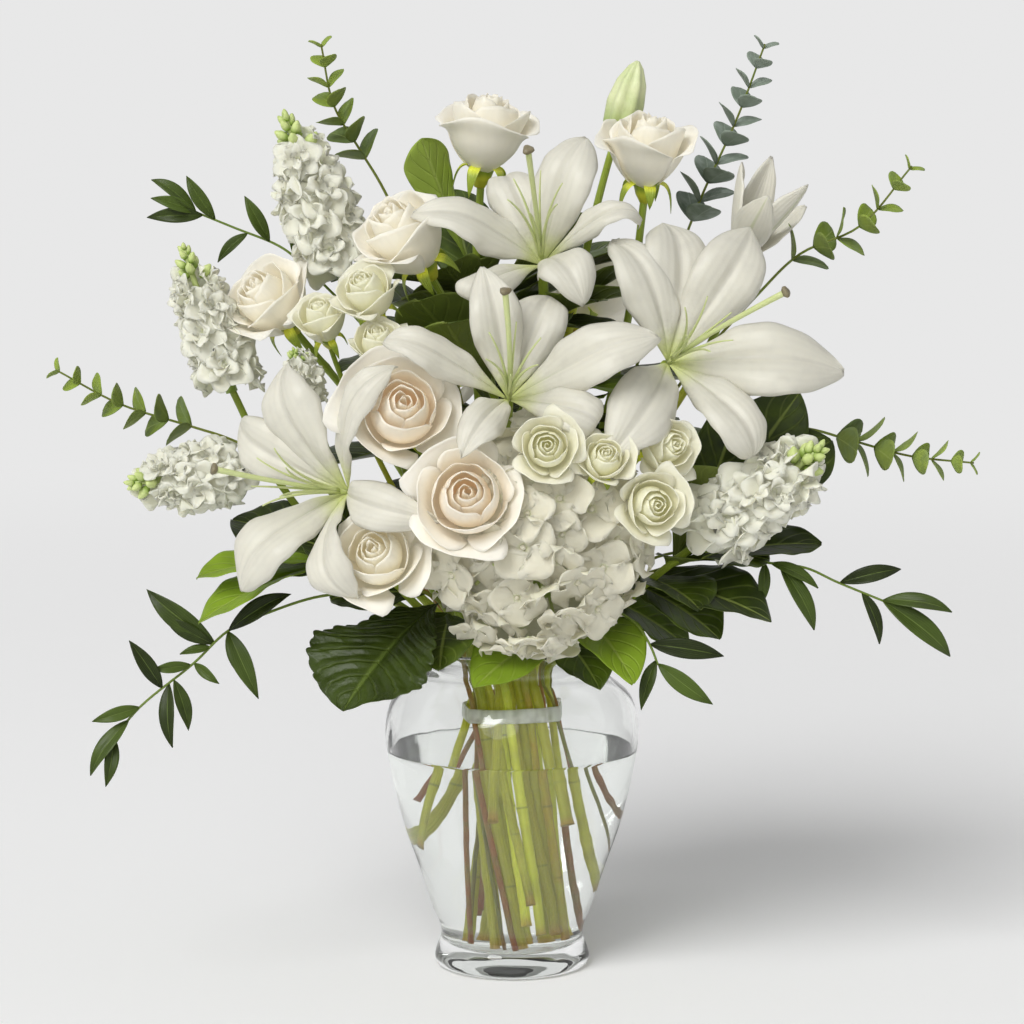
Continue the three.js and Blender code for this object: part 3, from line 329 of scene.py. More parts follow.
def ribbon(
    root, bend, tip, face, width, rows, columns, fullest=0.5, fill=0.8, fold=0.25, wave=0.0, waves=2.0,
    phase=0.0, groove=0.0, frill=0.0, teeth=0, curl=0.0, veins=0, pillow=0.0, blunt=0.0, rounding=0.0,
    droop=0.0,
):
    """The middle of a leaf or tepal. Its rib is a quadratic curve. Its half width is half the width times
    sin(pi t^p)^fill, with p set so that it is fullest there. Across, it rises by fold, sinks along the rib
    by groove, and its edges wave by wave and, more finely, by frill; teeth notch the rim, curl turns the
    edges back, and between slanting side veins the blade swells by pillow. Blunt keeps the end wide,
    rounding draws its corners in, and droop bends the last part of the rib down, by that share of its
    length."""
    along = np.linspace(FIRST_ROW, LAST_ROW, rows)[:, None]
    across = np.linspace(-1, 1, columns)[None, :]
    place = along * (1 - rounding * across**2)
    rib = bent(root, bend, tip, place)
    tangent = bent_way(root, bend, tip, place)
    side = unit(np.cross(face, tangent))
    up = np.cross(tangent, side)
    power = math.log(0.5) / math.log(fullest)
    half = width / 2 * np.sin(math.pi * (along * (1 - blunt)) ** power) ** fill
    if teeth:
        half = half * (1 + TOOTH_DEPTH * np.abs(np.sin(math.pi * teeth * along)))
    ruffle = np.sin(2 * math.pi * waves * along + phase + across)
    fringe = np.sin(2 * math.pi * FRILL_FINER * waves * along + 2 * phase + 2 * np.sign(across))
    valley = np.exp(-((across / VALLEY_WIDTH) ** 2)) * np.sin(math.pi * along)
    lift = (
        fold * half * np.abs(across) ** 1.25 - groove * valley - curl * half * across**4
        + (wave * ruffle * across**2 + frill * fringe * across**4) * smooth(along, 0.05, 0.35)
    )
    if veins:
        swell = np.abs(np.sin(math.pi * (veins * along - VEIN_SLANT * np.abs(across)))) ** 0.5
        lift = lift + pillow * swell * smooth(np.abs(across), 0, 0.3) * np.sin(math.pi * along)
    lift = lift - droop * np.linalg.norm(tip - root) * smooth(along, 0.5, 1.3) ** 1.5
    return rib + side * (half * across)[..., None] + up * lift[..., None]


def leaf(shells, root, tip, width, face, arch, rows, columns, tone, **form):
    """A leaf whose rib bows toward its upper side by arch times its length."""
    bend = (root + tip) / 2 + face * arch * np.linalg.norm(tip - root)
    blade(shells, ribbon(root, bend, tip, face, width, rows, columns, **form), LEAF_THICKNESS, tone)


def tube(shells, line, radii, sides, tone=0.5, ribs=0, rib_depth=0.0):
    """A rod along a line: at each point a ring of the radius there, times 1 + rib_depth cos(ribs a) round
    it, and a flat end at both sides."""
    line = np.asarray(line, float)
    tangent = unit(np.gradient(line, axis=0))
    mean = np.abs(unit(line[-1] - line[0]))
    helper = np.eye(3)[int(np.argmin(mean))]
    side = unit(np.cross(helper, tangent))
    up = np.cross(tangent, side)
    angle = np.linspace(0, 2 * math.pi, sides, endpoint=False)
    swell = 1 + rib_depth * np.cos(ribs * angle)
    radii = np.broadcast_to(np.asarray(radii, float), (len(line),))
    ring = side[:, None] * np.cos(angle)[:, None] + up[:, None] * np.sin(angle)[:, None]
    points = line[:, None] + ring * (radii[:, None] * swell)[..., None]
    index = np.arange(len(line) * sides).reshape(len(line), sides)
    along = np.repeat(np.linspace(0, 1, len(line)), sides)
    across = np.tile(np.cos(angle), len(line))
    shells.add(points, [ring_walls(index), index[:1, ::-1], index[-1:]], along, across, tone=tone)


def ring_walls(index):
    """The four-sided faces between closed rings of points, from their numbers ring by ring."""
    after = np.roll(index, -1, axis=1)
    return np.stack([index[:-1], after[:-1], after[1:], index[1:]], -1).reshape(-1, 4)


def turned(shells, profile, around, ribs=0, rib_depth=0.0, depth=0.0):
    """A profile of radii and heights, from the axis to the axis, turned round the Z axis. Each radius is
    taken times 1 + rib_depth cos(ribs a) round it."""
    profile = np.asarray(profile, float)
    inner = profile[1:-1]
    angle = np.linspace(0, 2 * math.pi, around, endpoint=False)
    radius = inner[:, :1] * (1 + rib_depth * np.cos(ribs * angle))
    height = np.broadcast_to(inner[:, 1:], radius.shape)
    rings = np.stack([radius * np.cos(angle), radius * np.sin(angle), height], -1)
    poles = [[0, 0, profile[0, 1]], [0, 0, profile[-1, 1]]]
    count = len(inner) * around
    index = np.arange(count).reshape(len(inner), around)
    after = np.roll(index, -1, axis=1)
    low = np.stack([np.full(around, count), after[0], index[0]], -1)
    high = np.stack([np.full(around, count + 1), index[-1], after[-1]], -1)
    along = np.concatenate([np.repeat(np.linspace(0, 1, len(inner)), around), [0, 1]])
    points = np.concatenate([rings.reshape(-1, 3), poles])
    shells.add(points, [ring_walls(index), low, high], along, depth=depth)


def copies(shells, shape, turns, places, sizes, tones):
    """Sets a shape many times, each copy turned, scaled and moved, with a tone of its own."""
    source = np.concatenate(shape.points)
    marks = np.concatenate(shape.marks)
    count = len(places)
    points = np.einsum("kij,nj->kni", turns * np.asarray(sizes)[:, None, None], source) + places[:, None]
    shift = (np.arange(count) * len(source))[:, None, None]
    faces = [(face[None] + shift).reshape(-1, face.shape[1]) for face in shape.faces]
    columns = dict(zip(Shells.MARKS, np.tile(marks, (count, 1)).T))
    columns["tone"] = np.repeat(tones, len(source))
    shells.add(points, faces, **columns)


def placed(shells, shape, turn, place):
    """Sets a shape once, turned and moved, with its own marks."""
    shells.points.extend(points @ turn.T + place for points in shape.points)
    shells.marks.extend(shape.marks)
    shells.faces.extend(face + shells.size for face in shape.faces)
    shells.size += shape.size


# ---- finishes ----


def tint(code):
    """A colour from its usual six hex digits, as light, with nothing of it see-through."""
    parts = [((code >> shift) & 255) / 255 for shift in (16, 8, 0)]
    light = [part / 12.92 if part <= 0.04045 else ((part + 0.055) / 1.055) ** 2.4 for part in parts]
    return (*light, 1.0)


class Strand:
    """A number that varies over a surface. Sums, differences and products with it add Math nodes."""

    def __init__(self, maker, socket):
        self.maker = maker
        self.socket = socket

    def math(self, operation, *values):
        """A Math node of the operation, with strands or numbers in its sockets."""
        return self.maker.node("ShaderNodeMath", {"operation": operation}, dict(enumerate(values)))

    def __add__(self, other):
        return self.math("ADD", self, other)

    __radd__ = __add__

    def __sub__(self, other):
        return self.math("SUBTRACT", self, other)

    def __rsub__(self, other):
        return self.math("SUBTRACT", other, self)

    def __mul__(self, other):
        return self.math("MULTIPLY", self, other)

    __rmul__ = __mul__

    def __abs__(self):
        return self.math("ABSOLUTE", self)

    def wave(self):
        """Its sine, as of an angle."""
        return self.math("SINE", self)

    def fraction(self):
        """What is left of it above a whole number."""
        return self.math("FRACT", self)


class Finish:
    """A material in the making: a Principled surface and what varies over it."""

    def __init__(self, name):
        self.material = bpy.data.materials.new(name)
        self.material.use_nodes = True
        self.tree = self.material.node_tree
        self.surface = self.tree.nodes["Principled BSDF"]

    def node(self, kind, settings=None, inputs=None, output=0):
        """A node of a kind: its settings are set first, then its sockets get numbers, colours or strands."""
        made = self.tree.nodes.new(kind)
        for name, value in (settings or {}).items():
            setattr(made, name, value)
        for name, value in (inputs or {}).items():
            if isinstance(value, Strand):
                self.tree.links.new(value.socket, made.inputs[name])
            else:
                made.inputs[name].default_value = value
        return Strand(self, made.outputs[output])

    def mark(self, name):
        """One of the marks that the mesh carries."""
        return self.node("ShaderNodeAttribute", {"attribute_name": name}, output="Fac")

    def noise(self, scale, detail):
        """A noise in the object's own coordinates, in cells per metre, with finer octaves as detail."""
        place = self.node("ShaderNodeTexCoord", output="Object")
        inputs = {"Vector": place, "Scale": scale, "Detail": detail, "Roughness": 0.5}
        return self.node("ShaderNodeTexNoise", None, inputs)

    def smooth(self, value, low, high):
        """0 below low, 1 above high, and an S curve between."""
        return self.node(
            "ShaderNodeMapRange", {"interpolation_type": "SMOOTHSTEP"},
            {"Value": value, "From Min": low, "From Max": high},
        )

    def mix(self, share, one, other):
        """One colour where the share is 0, the other where it is 1."""
        return self.node("ShaderNodeMix", {"data_type": "RGBA"}, {0: share, 6: one, 7: other}, output=2)

    def vary(self, **strands):
        """Lets strands set sockets of the surface; a word's underscores stand for spaces."""
        for name, strand in strands.items():
            self.tree.links.new(strand.socket, self.surface.inputs[name.replace("_", " ")])

    def bump(self, height, distance):
        """Relief, with the height of a full step in metres."""
        inputs = {"Height": height, "Distance": distance, "Strength": 1.0}
        self.vary(Normal=self.node("ShaderNodeBump", None, inputs))

    def blend(self, share, shader):
        """Puts another shader in the place of the surface, by a share."""
        both = self.node("ShaderNodeMixShader", None, {"Fac": share})
        inputs = both.socket.node.inputs
        self.tree.links.new(self.surface.outputs["BSDF"], inputs[1])
        self.tree.links.new(shader.socket, inputs[2])
        self.tree.links.new(both.socket, self.tree.nodes["Material Output"].inputs["Surface"])

    def constants(self, **values):
        """Sets sockets that are the same all over; a word's underscores stand for spaces."""
        for name, value in values.items():
            self.surface.inputs[name.replace("_", " ")].default_value = value
        return self.material


def petal_finish(name, rim, heart, foot, foot_end=0.3, veins=34.0, relief=0.00006):
    """A petal: its colour runs from the foot to the rim, toward the heart's colour in the depth of a bloom,
    with fine veins along it and a faint mottle. Light that real petals let through from behind is a weak
    glow of the same colour."""
    make = Finish(name)
    along, across, depth = make.mark("along"), make.mark("across"), make.mark("depth")
    mottle = make.noise(140, 4)
    lines = (across * veins + make.noise(60, 2) * 5).wave() * 0.5 + 0.5
    inside = make.smooth(depth, 0.05, 0.8) * (1 - make.smooth(along, 0.5, 0.97) * 0.75)
    shade = make.mix(inside, rim, heart)
    shade = make.mix((1 - make.smooth(along, 0.0, foot_end)) * 0.9, shade, foot)
    shade = make.mix(make.mark("under") * 0.12, shade, foot)
    grey = tuple(0.83 * part for part in rim[:3]) + (1.0,)
    shade = make.mix(make.smooth(mottle, 0.45, 0.8) * 0.16 + lines * 0.05, shade, grey)
    make.vary(Base_Color=shade, Emission_Color=shade, Roughness=mottle * 0.2 + 0.42)
    make.bump(lines * 0.5 + make.noise(900, 3) * 0.5, relief)
    return make.constants(
        Subsurface_Weight=0.35, Subsurface_Radius=(1.0, 0.9, 0.75), Subsurface_Scale=0.004,
        Specular_IOR_Level=0.25, Emission_Strength=0.08,
    )


def lily_finish(name, white, throat, rib):
    """A tepal: white, green-yellow toward the throat and along the rib, with ridges along both its sides,
    small knobs near the throat and a greener rib on its back. It is greyed in random mottled patches, in
    faint lines on the ridges and, as painted shade of its groove, along the rib; a weak painted glow of its
    own colour lightens it."""
    make = Finish(name)
    along, across, under = make.mark("along"), make.mark("across"), make.mark("under")
    near_rib = 1 - make.smooth(abs(across), 0.02, 0.12)
    inner = 1 - make.smooth(along, 0.08, 0.42)
    ridges = (abs(across) * 30.0 + make.noise(40, 1) * 2).wave() * 0.5 + 0.5
    mottle = make.noise(90, 4)
    shade = make.mix(1 - make.smooth(along, 0.03, 0.27), white, throat)
    shade = make.mix(near_rib * (inner * 0.45 + under * 0.45), shade, rib)
    # Grey in random mottled patches and faint lines on the ridges, and painted shade along the rib's groove.
    grey = tint(0xB5B2A8)
    shade = make.mix(make.smooth(mottle, 0.45, 0.8) * 0.3 + ridges * 0.08 + near_rib * 0.2, shade, grey)
    make.vary(Base_Color=shade, Emission_Color=shade, Roughness=mottle * 0.16 + 0.36)
    place = make.node("ShaderNodeTexCoord", output="Object")
    knobs = make.node("ShaderNodeTexVoronoi", None, {"Vector": place, "Scale": 420.0}, output="Distance")
    fade = make.smooth(along, 0.1, 0.45)
    make.bump(ridges * fade * 0.32 + (1 - knobs) * (1 - fade) * 1.2 + make.noise(700, 3) * 0.25, 0.0003)
    # Emission_Strength is a weak painted glow of the tepal's own colour.
    return make.constants(
        Subsurface_Weight=0.2, Subsurface_Radius=(1.0, 0.92, 0.75), Subsurface_Scale=0.005,
        Specular_IOR_Level=0.35, Coat_Weight=0.04, Coat_Roughness=0.4, Emission_Strength=0.05,
    )


def leaf_finish(
    name, dark, light, vein, side_veins=7.0, slant=VEIN_SLANT, sheen=0.42, relief=0.0006, bloom=None,
):
    """A leaf: mottled between a dark and a light green, with a pale midrib and side veins that leave it
    aslant; its back is paler. A bloom, where given, lies over it in soft patches."""
    make = Finish(name)
    along, across, under = make.mark("along"), make.mark("across"), make.mark("under")
    apart = abs(across)
    midrib = 1 - make.smooth(apart, 0.015, 0.075)
    stripes = abs((along * side_veins - apart * slant).fraction() - 0.5)
    side = (1 - make.smooth(stripes, 0.02, 0.13)) * (1 - make.smooth(apart, 0.7, 1.0))
    mottle = make.noise(55, 4)
    shade = make.mix(make.smooth(mottle * 0.7 + make.mark("tone") * 0.8, 0.3, 1.15), dark, light)
    shade = make.mix(midrib * 0.5 + side * 0.13, shade, vein)
    shade = make.mix(under * 0.4, shade, vein)
    if bloom:
        shade = make.mix(make.smooth(make.noise(120, 3), 0.35, 0.75) * 0.55, shade, bloom)
    make.vary(Base_Color=shade, Roughness=mottle * 0.25 + sheen - 0.1)
    make.bump(midrib * -0.5 - side * 0.5 + make.noise(500, 3) * 0.2, relief)
    return make.constants(Specular_IOR_Level=0.24)


def stem_finish(name, green, olive, brown):
    """A stem: green to olive in long streaks, brown where its tone is high, a duller green above the vase,
    and darker at its knots and its cut foot. Lower down its green is painted brighter than the stem's own,
    and it has a weak painted glow, both standing in for light that comes in through the glass and water."""
    make = Finish(name)
    along, tone = make.mark("along"), make.mark("tone")
    streak = make.noise(70, 3)
    shade = make.mix(make.smooth(streak * 0.6 + tone, 0.35, 1.0), green, olive)
    shade = make.mix(make.smooth(tone, 0.78, 0.95) * make.smooth(streak, 0.3, 0.7) * 0.7, shade, brown)
    # Painted light: the green lower down is brighter than the stem's own, for light through the glass and
    # water; farther up it turns to a duller green.
    shade = make.mix(make.smooth(along, 0.36, 0.6) * 0.75, shade, tint(0x65802C))
    shade = make.mix((1 - make.smooth(along, 0.0, 0.03)) * 0.5, shade, brown)
    near_knot = make.smooth(abs((along * (1 / KNOTS_APART)).fraction() - 0.5), 0.475, 0.497)
    shade = make.mix(near_knot * make.smooth(streak, 0.4, 0.6) * 0.5, shade, tint(0x5F6B24))
    make.vary(Base_Color=shade, Emission_Color=shade, Roughness=streak * 0.3 + 0.3)
    make.bump((make.mark("across") * 14.0).wave() * 0.3 + make.noise(400, 3), 0.0003)
    # Emission_Strength is a weak painted glow of the stem's colour.
    return make.constants(
        Subsurface_Weight=0.1, Subsurface_Radius=(0.5, 0.8, 0.2), Subsurface_Scale=0.003,
        Specular_IOR_Level=0.45, Emission_Strength=0.13,
    )


def pistil_finish(name, green, tip):
    """The green of a lily's style and filaments, with a brown-green stigma where the depth is 1."""
    make = Finish(name)
    shade = make.mix(make.smooth(make.mark("depth"), 0.4, 0.6), green, tip)
    shade = make.mix(make.noise(160, 3) * 0.25, shade, tint(0xE6E8C8))
    make.vary(Base_Color=shade, Roughness=make.noise(300, 2) * 0.2 + 0.3)
    make.bump(make.noise(900, 3), 0.0003)
    return make.constants(
        Subsurface_Weight=0.12, Subsurface_Radius=(0.8, 1.0, 0.4), Subsurface_Scale=0.003,
    )


def bud_finish(name, pale, green):
    """A shut bud: pale toward its tip, green at its foot and in soft patches."""
    make = Finish(name)
    along = make.mark("along")
    shade = make.mix(1 - make.smooth(along, 0.1, 0.6), pale, green)
    shade = make.mix(make.smooth(make.noise(60, 3), 0.35, 0.75) * 0.45, shade, green)
    make.vary(Base_Color=shade, Roughness=make.noise(200, 2) * 0.2 + 0.35)
    make.bump(make.noise(600, 3), 0.0003)
    return make.constants(
        Subsurface_Weight=0.15, Subsurface_Radius=(0.9, 1.0, 0.6), Subsurface_Scale=0.004,
    )


def clear_finish(name, color, index, ripple=0.0, calm=0.0):
    """A clear thing: all light goes through, bent by the index; a slow ripple moves its surface a little.
    A share of a lamp's light goes straight on, for the bright patches that real glass throws, and so does
    the share calm of what is seen through a level top."""
    lit = 0.22
    make = Finish(name)
    if ripple:
        make.bump(make.noise(18, 2), ripple)
    shadow = make.node("ShaderNodeLightPath", output="Is Shadow Ray")
    normal = make.node("ShaderNodeNewGeometry", output="Normal")
    rise = make.node("ShaderNodeSeparateXYZ", None, {"Vector": normal}, output="Z")
    straight = shadow * lit + (1 - shadow) * make.smooth(abs(rise), 0.5, 0.9) * calm
    make.blend(straight, make.node("ShaderNodeBsdfTransparent", None, {"Color": color}))
    return make.constants(
        Base_Color=color, Transmission_Weight=1.0, IOR=index, Roughness=0.0, Specular_IOR_Level=0.5,
    )


def frosted_finish(name, color):
    """A soft clear plastic, milky in patches."""
    make = Finish(name)
    milk = make.smooth(make.noise(90, 2), 0.35, 0.65)
    make.vary(Roughness=milk * 0.3 + 0.25)
    make.blend(0.62 - milk * 0.42, make.node("ShaderNodeBsdfTransparent"))
    return make.constants(Base_Color=color, IOR=1.4, Specular_IOR_Level=0.5)


FINISHES = {}


def finish(name):
    """The material of a name, made once, with the colours in the sidebar and of the hex codes here."""
    looks = bpy.context.scene.bunch_looks
    recipes = {
        "lily_petal": (lily_finish, looks.lily, 0xC9D08A, 0xB4C07A),
        "rose_petal": (petal_finish, looks.rose, looks.rose_heart, 0xF0EAC4, dict(foot_end=0.25)),
        "peach_petal": (petal_finish, looks.rose, looks.peach_heart, 0xF5DFC0, dict(foot_end=0.25)),
        "spray_petal": (petal_finish, looks.spray, looks.spray_heart, 0xE4EAB8, dict(foot_end=0.35)),
        "hydrangea_petal": (
            petal_finish, looks.hydrangea, 0xF4F2E4, 0xDCE2B4, dict(foot_end=0.2, veins=12.0, relief=0.00016),
        ),
        "stock_petal": (
            petal_finish, looks.stock, 0xEEF1D2, 0xE4EABC, dict(foot_end=0.3, veins=10.0, relief=0.0001),
        ),
        "green_bud": (bud_finish, 0xC9D68E, 0x94AE4E),
        "lily_bud": (bud_finish, 0xDDE3B4, 0x93AC52),
        "pistil": (pistil_finish, 0xC2CC88, 0x5E4C28),
        "stem": (stem_finish, looks.stem, 0xA8A832, 0xB06A30),
        "sprig_stem": (stem_finish, 0x6E7C30, 0x8A7A3A, 0x9C4C2A),
        "eucalyptus": (
            leaf_finish, 0x36481A, 0x94AA3A, 0xA0AE62,
            dict(side_veins=5.0, slant=1.6, sheen=0.6, relief=0.00006, bloom=tint(0x76885A)),
        ),
        "eucalyptus_blue": (
            leaf_finish, 0x566455, 0x7E8B7B, 0x9BA796,
            dict(side_veins=5.0, slant=1.6, sheen=0.62, relief=0.00006, bloom=tint(0xA9B3AA)),
        ),
        "ruscus": (
            leaf_finish, 0x20290B, 0x4C5E22, 0x7A8E48,
            dict(side_veins=3.0, slant=5.0, sheen=0.34, relief=0.0003),
        ),
        "broad_leaf": (leaf_finish, 0x2A3610, 0x84A02A, 0xA8B860),
        "crinkled_leaf": (
            leaf_finish, 0x1E280B, 0x42521A, 0x6A7C36, dict(side_veins=9.0, sheen=0.3, relief=0.0014),
        ),
        # A darker leaf finish for the sprig at the back of the bunch: partly the leaves' own dark green,
        # partly painted shade.
        "dark_leaf": (leaf_finish, 0x222C0C, 0x4C5E1E, 0x66743A),
        "glass": (clear_finish, looks.glass, dict(index=1.46, ripple=0.0012)),
        "water": (clear_finish, (0.985, 0.995, 0.985, 1.0), dict(index=1.33, calm=0.92)),
        "band": (frosted_finish, 0xEFF2EA),
    }
    if name not in FINISHES:
        maker, *values = recipes[name]
        numbers = values.pop() if isinstance(values[-1], dict) else {}
        colors = [tint(value) if isinstance(value, int) else tuple(value) for value in values]
        FINISHES[name] = maker(name, *colors, **numbers)
    return FINISHES[name]


# ---- where everything is ----

# A place in a list is given by its steps across and down the view and its depth.

# Of each lily: its name, throat, axis and the end of its style; then of each tepal the place of its tip, its
# width, and how far out, as a share, and how far up its rib bends.
LILIES = [
    ("lily_top", at(540, 243, -62), toward(-0.08, -0.72, 0.7), at(528, 150, -112), [
        (425, 194, -84, 36, 0.42, 20), (464, 312, -104, 30, 0.9, 34), (585, 290, -116, 34, 0.42, 26),
        (652, 204, -70, 20, 0.6, 30), (579, 127, -58, 38, 0.42, 26), (497, 158, -28, 34, 0.42, 26),
    ]),
    ("lily_middle", at(510, 385, -128), toward(0.05, -0.86, 0.5), at(505, 291, -166), [
        (390, 328, -148, 26, 0.65, 26), (488, 268, -136, 32, 0.42, 20), (556, 274, -86, 36, 0.42, 14),
        (641, 326, -150, 38, 0.6, 20), (608, 424, -148, 30, 0.75, 22), (464, 444, -172, 25, 0.42, 16),
    ]),
    ("lily_right", at(681, 352, -92), toward(0.35, -0.85, 0.38), at(786, 292, -140), [
        (618, 221, -74, 38, 0.42, 16), (676, 199, -50, 46, 0.42, 16), (766, 216, -66, 42, 0.42, 20),
        (846, 357, -104, 48, 0.42, 20), (768, 452, -122, 36, 0.6, 26), (626, 442, -160, 42, 0.42, 16),
    ]),
    ("lily_left", at(323, 489, -108), toward(-0.72, -0.62, 0.16), at(214, 469, -138), [
        (262, 361, -96, 44, 0.42, 24), (217, 420, -72, 34, 0.42, 22), (221, 575, -122, 44, 0.42, 26),
        (343, 612, -150, 32, 0.55, 30), (430, 522, -168, 28, 0.42, 18), (372, 356, -148, 26, 0.55, 24),
    ]),
]

HALF_OPEN_BASE = at(734, 262, -14)
HALF_OPEN_TIPS = [at(742, 162, -16), at(772, 156, 2), at(808, 184, -30), at(806, 206, 6), at(768, 196, -52)]
HALF_OPEN_WIDTH = 24
BUD_BASE = at(613, 146, 26)
BUD_TIP = at(638, 61, 20)
BUD_WIDTH = 21

# Name, centre, axis, size and how far it is open.
ROSES = [
    ("rose_top_left", at(486, 132, 14), toward(0.12, -0.15, 1), 60, 0.5),
    ("rose_top_right", at(648, 150, -4), toward(0.05, -0.3, 1), 58, 0.4),
    ("rose_upper_left", at(404, 236, -52), toward(-0.5, -0.45, 0.75), 60, 0.6),
    ("rose_left", at(268, 301, -22), toward(-0.5, -0.6, 0.62), 56, 0.8),
    ("rose_middle", at(401, 412, -118), toward(0.1, -0.9, 0.35), 68, 1.0),
    ("rose_front", at(467, 499, -152), toward(0, -0.93, 0.3), 66, 1.0),
    ("rose_lower_left", at(378, 557, -124), toward(-0.15, -0.85, 0.4), 58, 0.9),
    ("rose_back_right", at(590, 300, 96), toward(0.3, 0.8, 0.6), 62, 0.9),
    ("rose_back_left", at(430, 380, 104), toward(-0.35, 0.9, 0.3), 62, 0.7),
]
PEACH_ROSES = ("rose_middle", "rose_front")

# Name, centre, axis and size.
SPRAY_ROSES = [
    ("spray_rose_1", at(547, 449, -152), toward(0, -0.95, 0.25), 40),
    ("spray_rose_2", at(604, 461, -146), toward(0.1, -0.8, 0.5), 35),
    ("spray_rose_3", at(664, 447, -118), toward(0.5, -0.8, 0.2), 40),
    ("spray_rose_4", at(651, 505, -136), toward(0.25, -0.93, 0.1), 42),
    ("spray_rose_5", at(322, 320, -58), toward(-0.2, -0.5, 0.8), 36),
    ("spray_rose_6", at(368, 294, -78), toward(-0.3, -0.6, 0.7), 40),
    ("spray_rose_7", at(379, 346, -88), toward(-0.1, -0.6, 0.8), 36),
]

HYDRANGEA_CENTRE = at(535, 530, -92)
HYDRANGEA_AXIS = toward(0.05, -0.95, -0.2)
HYDRANGEA_RADIUS = 64
FLORETS = 96

# Name, base, tip, width, florets and buds.
STOCKS = [
    ("stock_top_left", at(345, 275, -10), at(283, 112, -22), 52, 17, 12),
    ("stock_upper_left", at(232, 392, -20), at(182, 244, -26), 44, 15, 11),
    ("stock_left", at(240, 470, -42), at(128, 484, -62), 45, 13, 10),
    ("stock_right", at(704, 538, -74), at(824, 446, -104), 54, 17, 12),
    ("stock_small", at(308, 402, -72), at(294, 350, -84), 27, 9, 7),
]

# Name, pairs of leaves, the smallest and the largest leaf, and the places of the route, to the tip.
EUCALYPTUS = [
    ("eucalyptus_top_left", 7, 10, 24, [(384, 190, 26), (360, 150, 24), (334, 106, 20), (321, 44, 16)]),
    ("eucalyptus_top_right", 10, 11, 27, [(676, 262, 44), (700, 200, 40), (738, 116, 34), (765, 44, 28)]),
    ("eucalyptus_right", 7, 10, 26, [(760, 292, 4), (800, 254, 0), (860, 226, -10), (912, 166, -18)]),
    ("eucalyptus_left", 7, 10, 24, [(232, 440, 10), (190, 426, 6), (120, 404, 0), (56, 370, -6)]),
    ("eucalyptus_lower_right", 8, 9, 28, [(800, 428, -4), (850, 440, -8), (910, 456, -12), (974, 463, -18)]),
]
BLUE_EUCALYPTUS = ("eucalyptus_top_right",)

# Name, the depth of the leaves, the places of the route, and the steps of each leaf's base and tip.
RUSCUS = [
    ("ruscus_upper_left", 18, [(300, 262, 12), (279, 246, 16), (235, 228, 20), (193, 211, 22)], [
        (191, 210, 151, 177), (183, 212, 150, 197), (201, 218, 145, 217), (215, 220, 185, 175),
        (267, 251, 244, 195), (244, 242, 216, 262), (293, 265, 292, 214),
    ]),
    ("ruscus_lower_left", -78, [
        (322, 596, -56), (270, 612, -64), (228, 631, -72), (194, 663, -78), (140, 707, -84), (112, 740, -88),
    ], [
        (192, 617, 144, 589), (205, 636, 163, 617), (152, 675, 129, 640), (175, 646, 152, 670),
        (206, 640, 179, 654), (194, 663, 219, 684), (182, 690, 190, 732), (167, 679, 171, 749),
        (142, 707, 91, 722), (127, 717, 88, 776), (114, 738, 106, 788), (284, 638, 259, 700),
        (261, 644, 246, 682), (274, 612, 291, 592),
    ]),
    ("ruscus_right", -62, [
        (716, 552, -48), (763, 562, -54), (806, 568, -60), (837, 582, -64), (886, 602, -68),
    ], [
        (840, 582, 903, 568), (886, 602, 954, 610), (890, 606, 954, 657), (859, 596, 882, 645),
        (768, 573, 820, 587), (774, 592, 817, 631), (763, 562, 762, 606),
    ]),
    ("ruscus_low_front", -92, [(612, 610, -66), (636, 624, -84), (650, 645, -90), (658, 665, -92)], [
        (653, 640, 726, 656), (660, 662, 714, 706), (655, 660, 640, 711),
    ]),
]

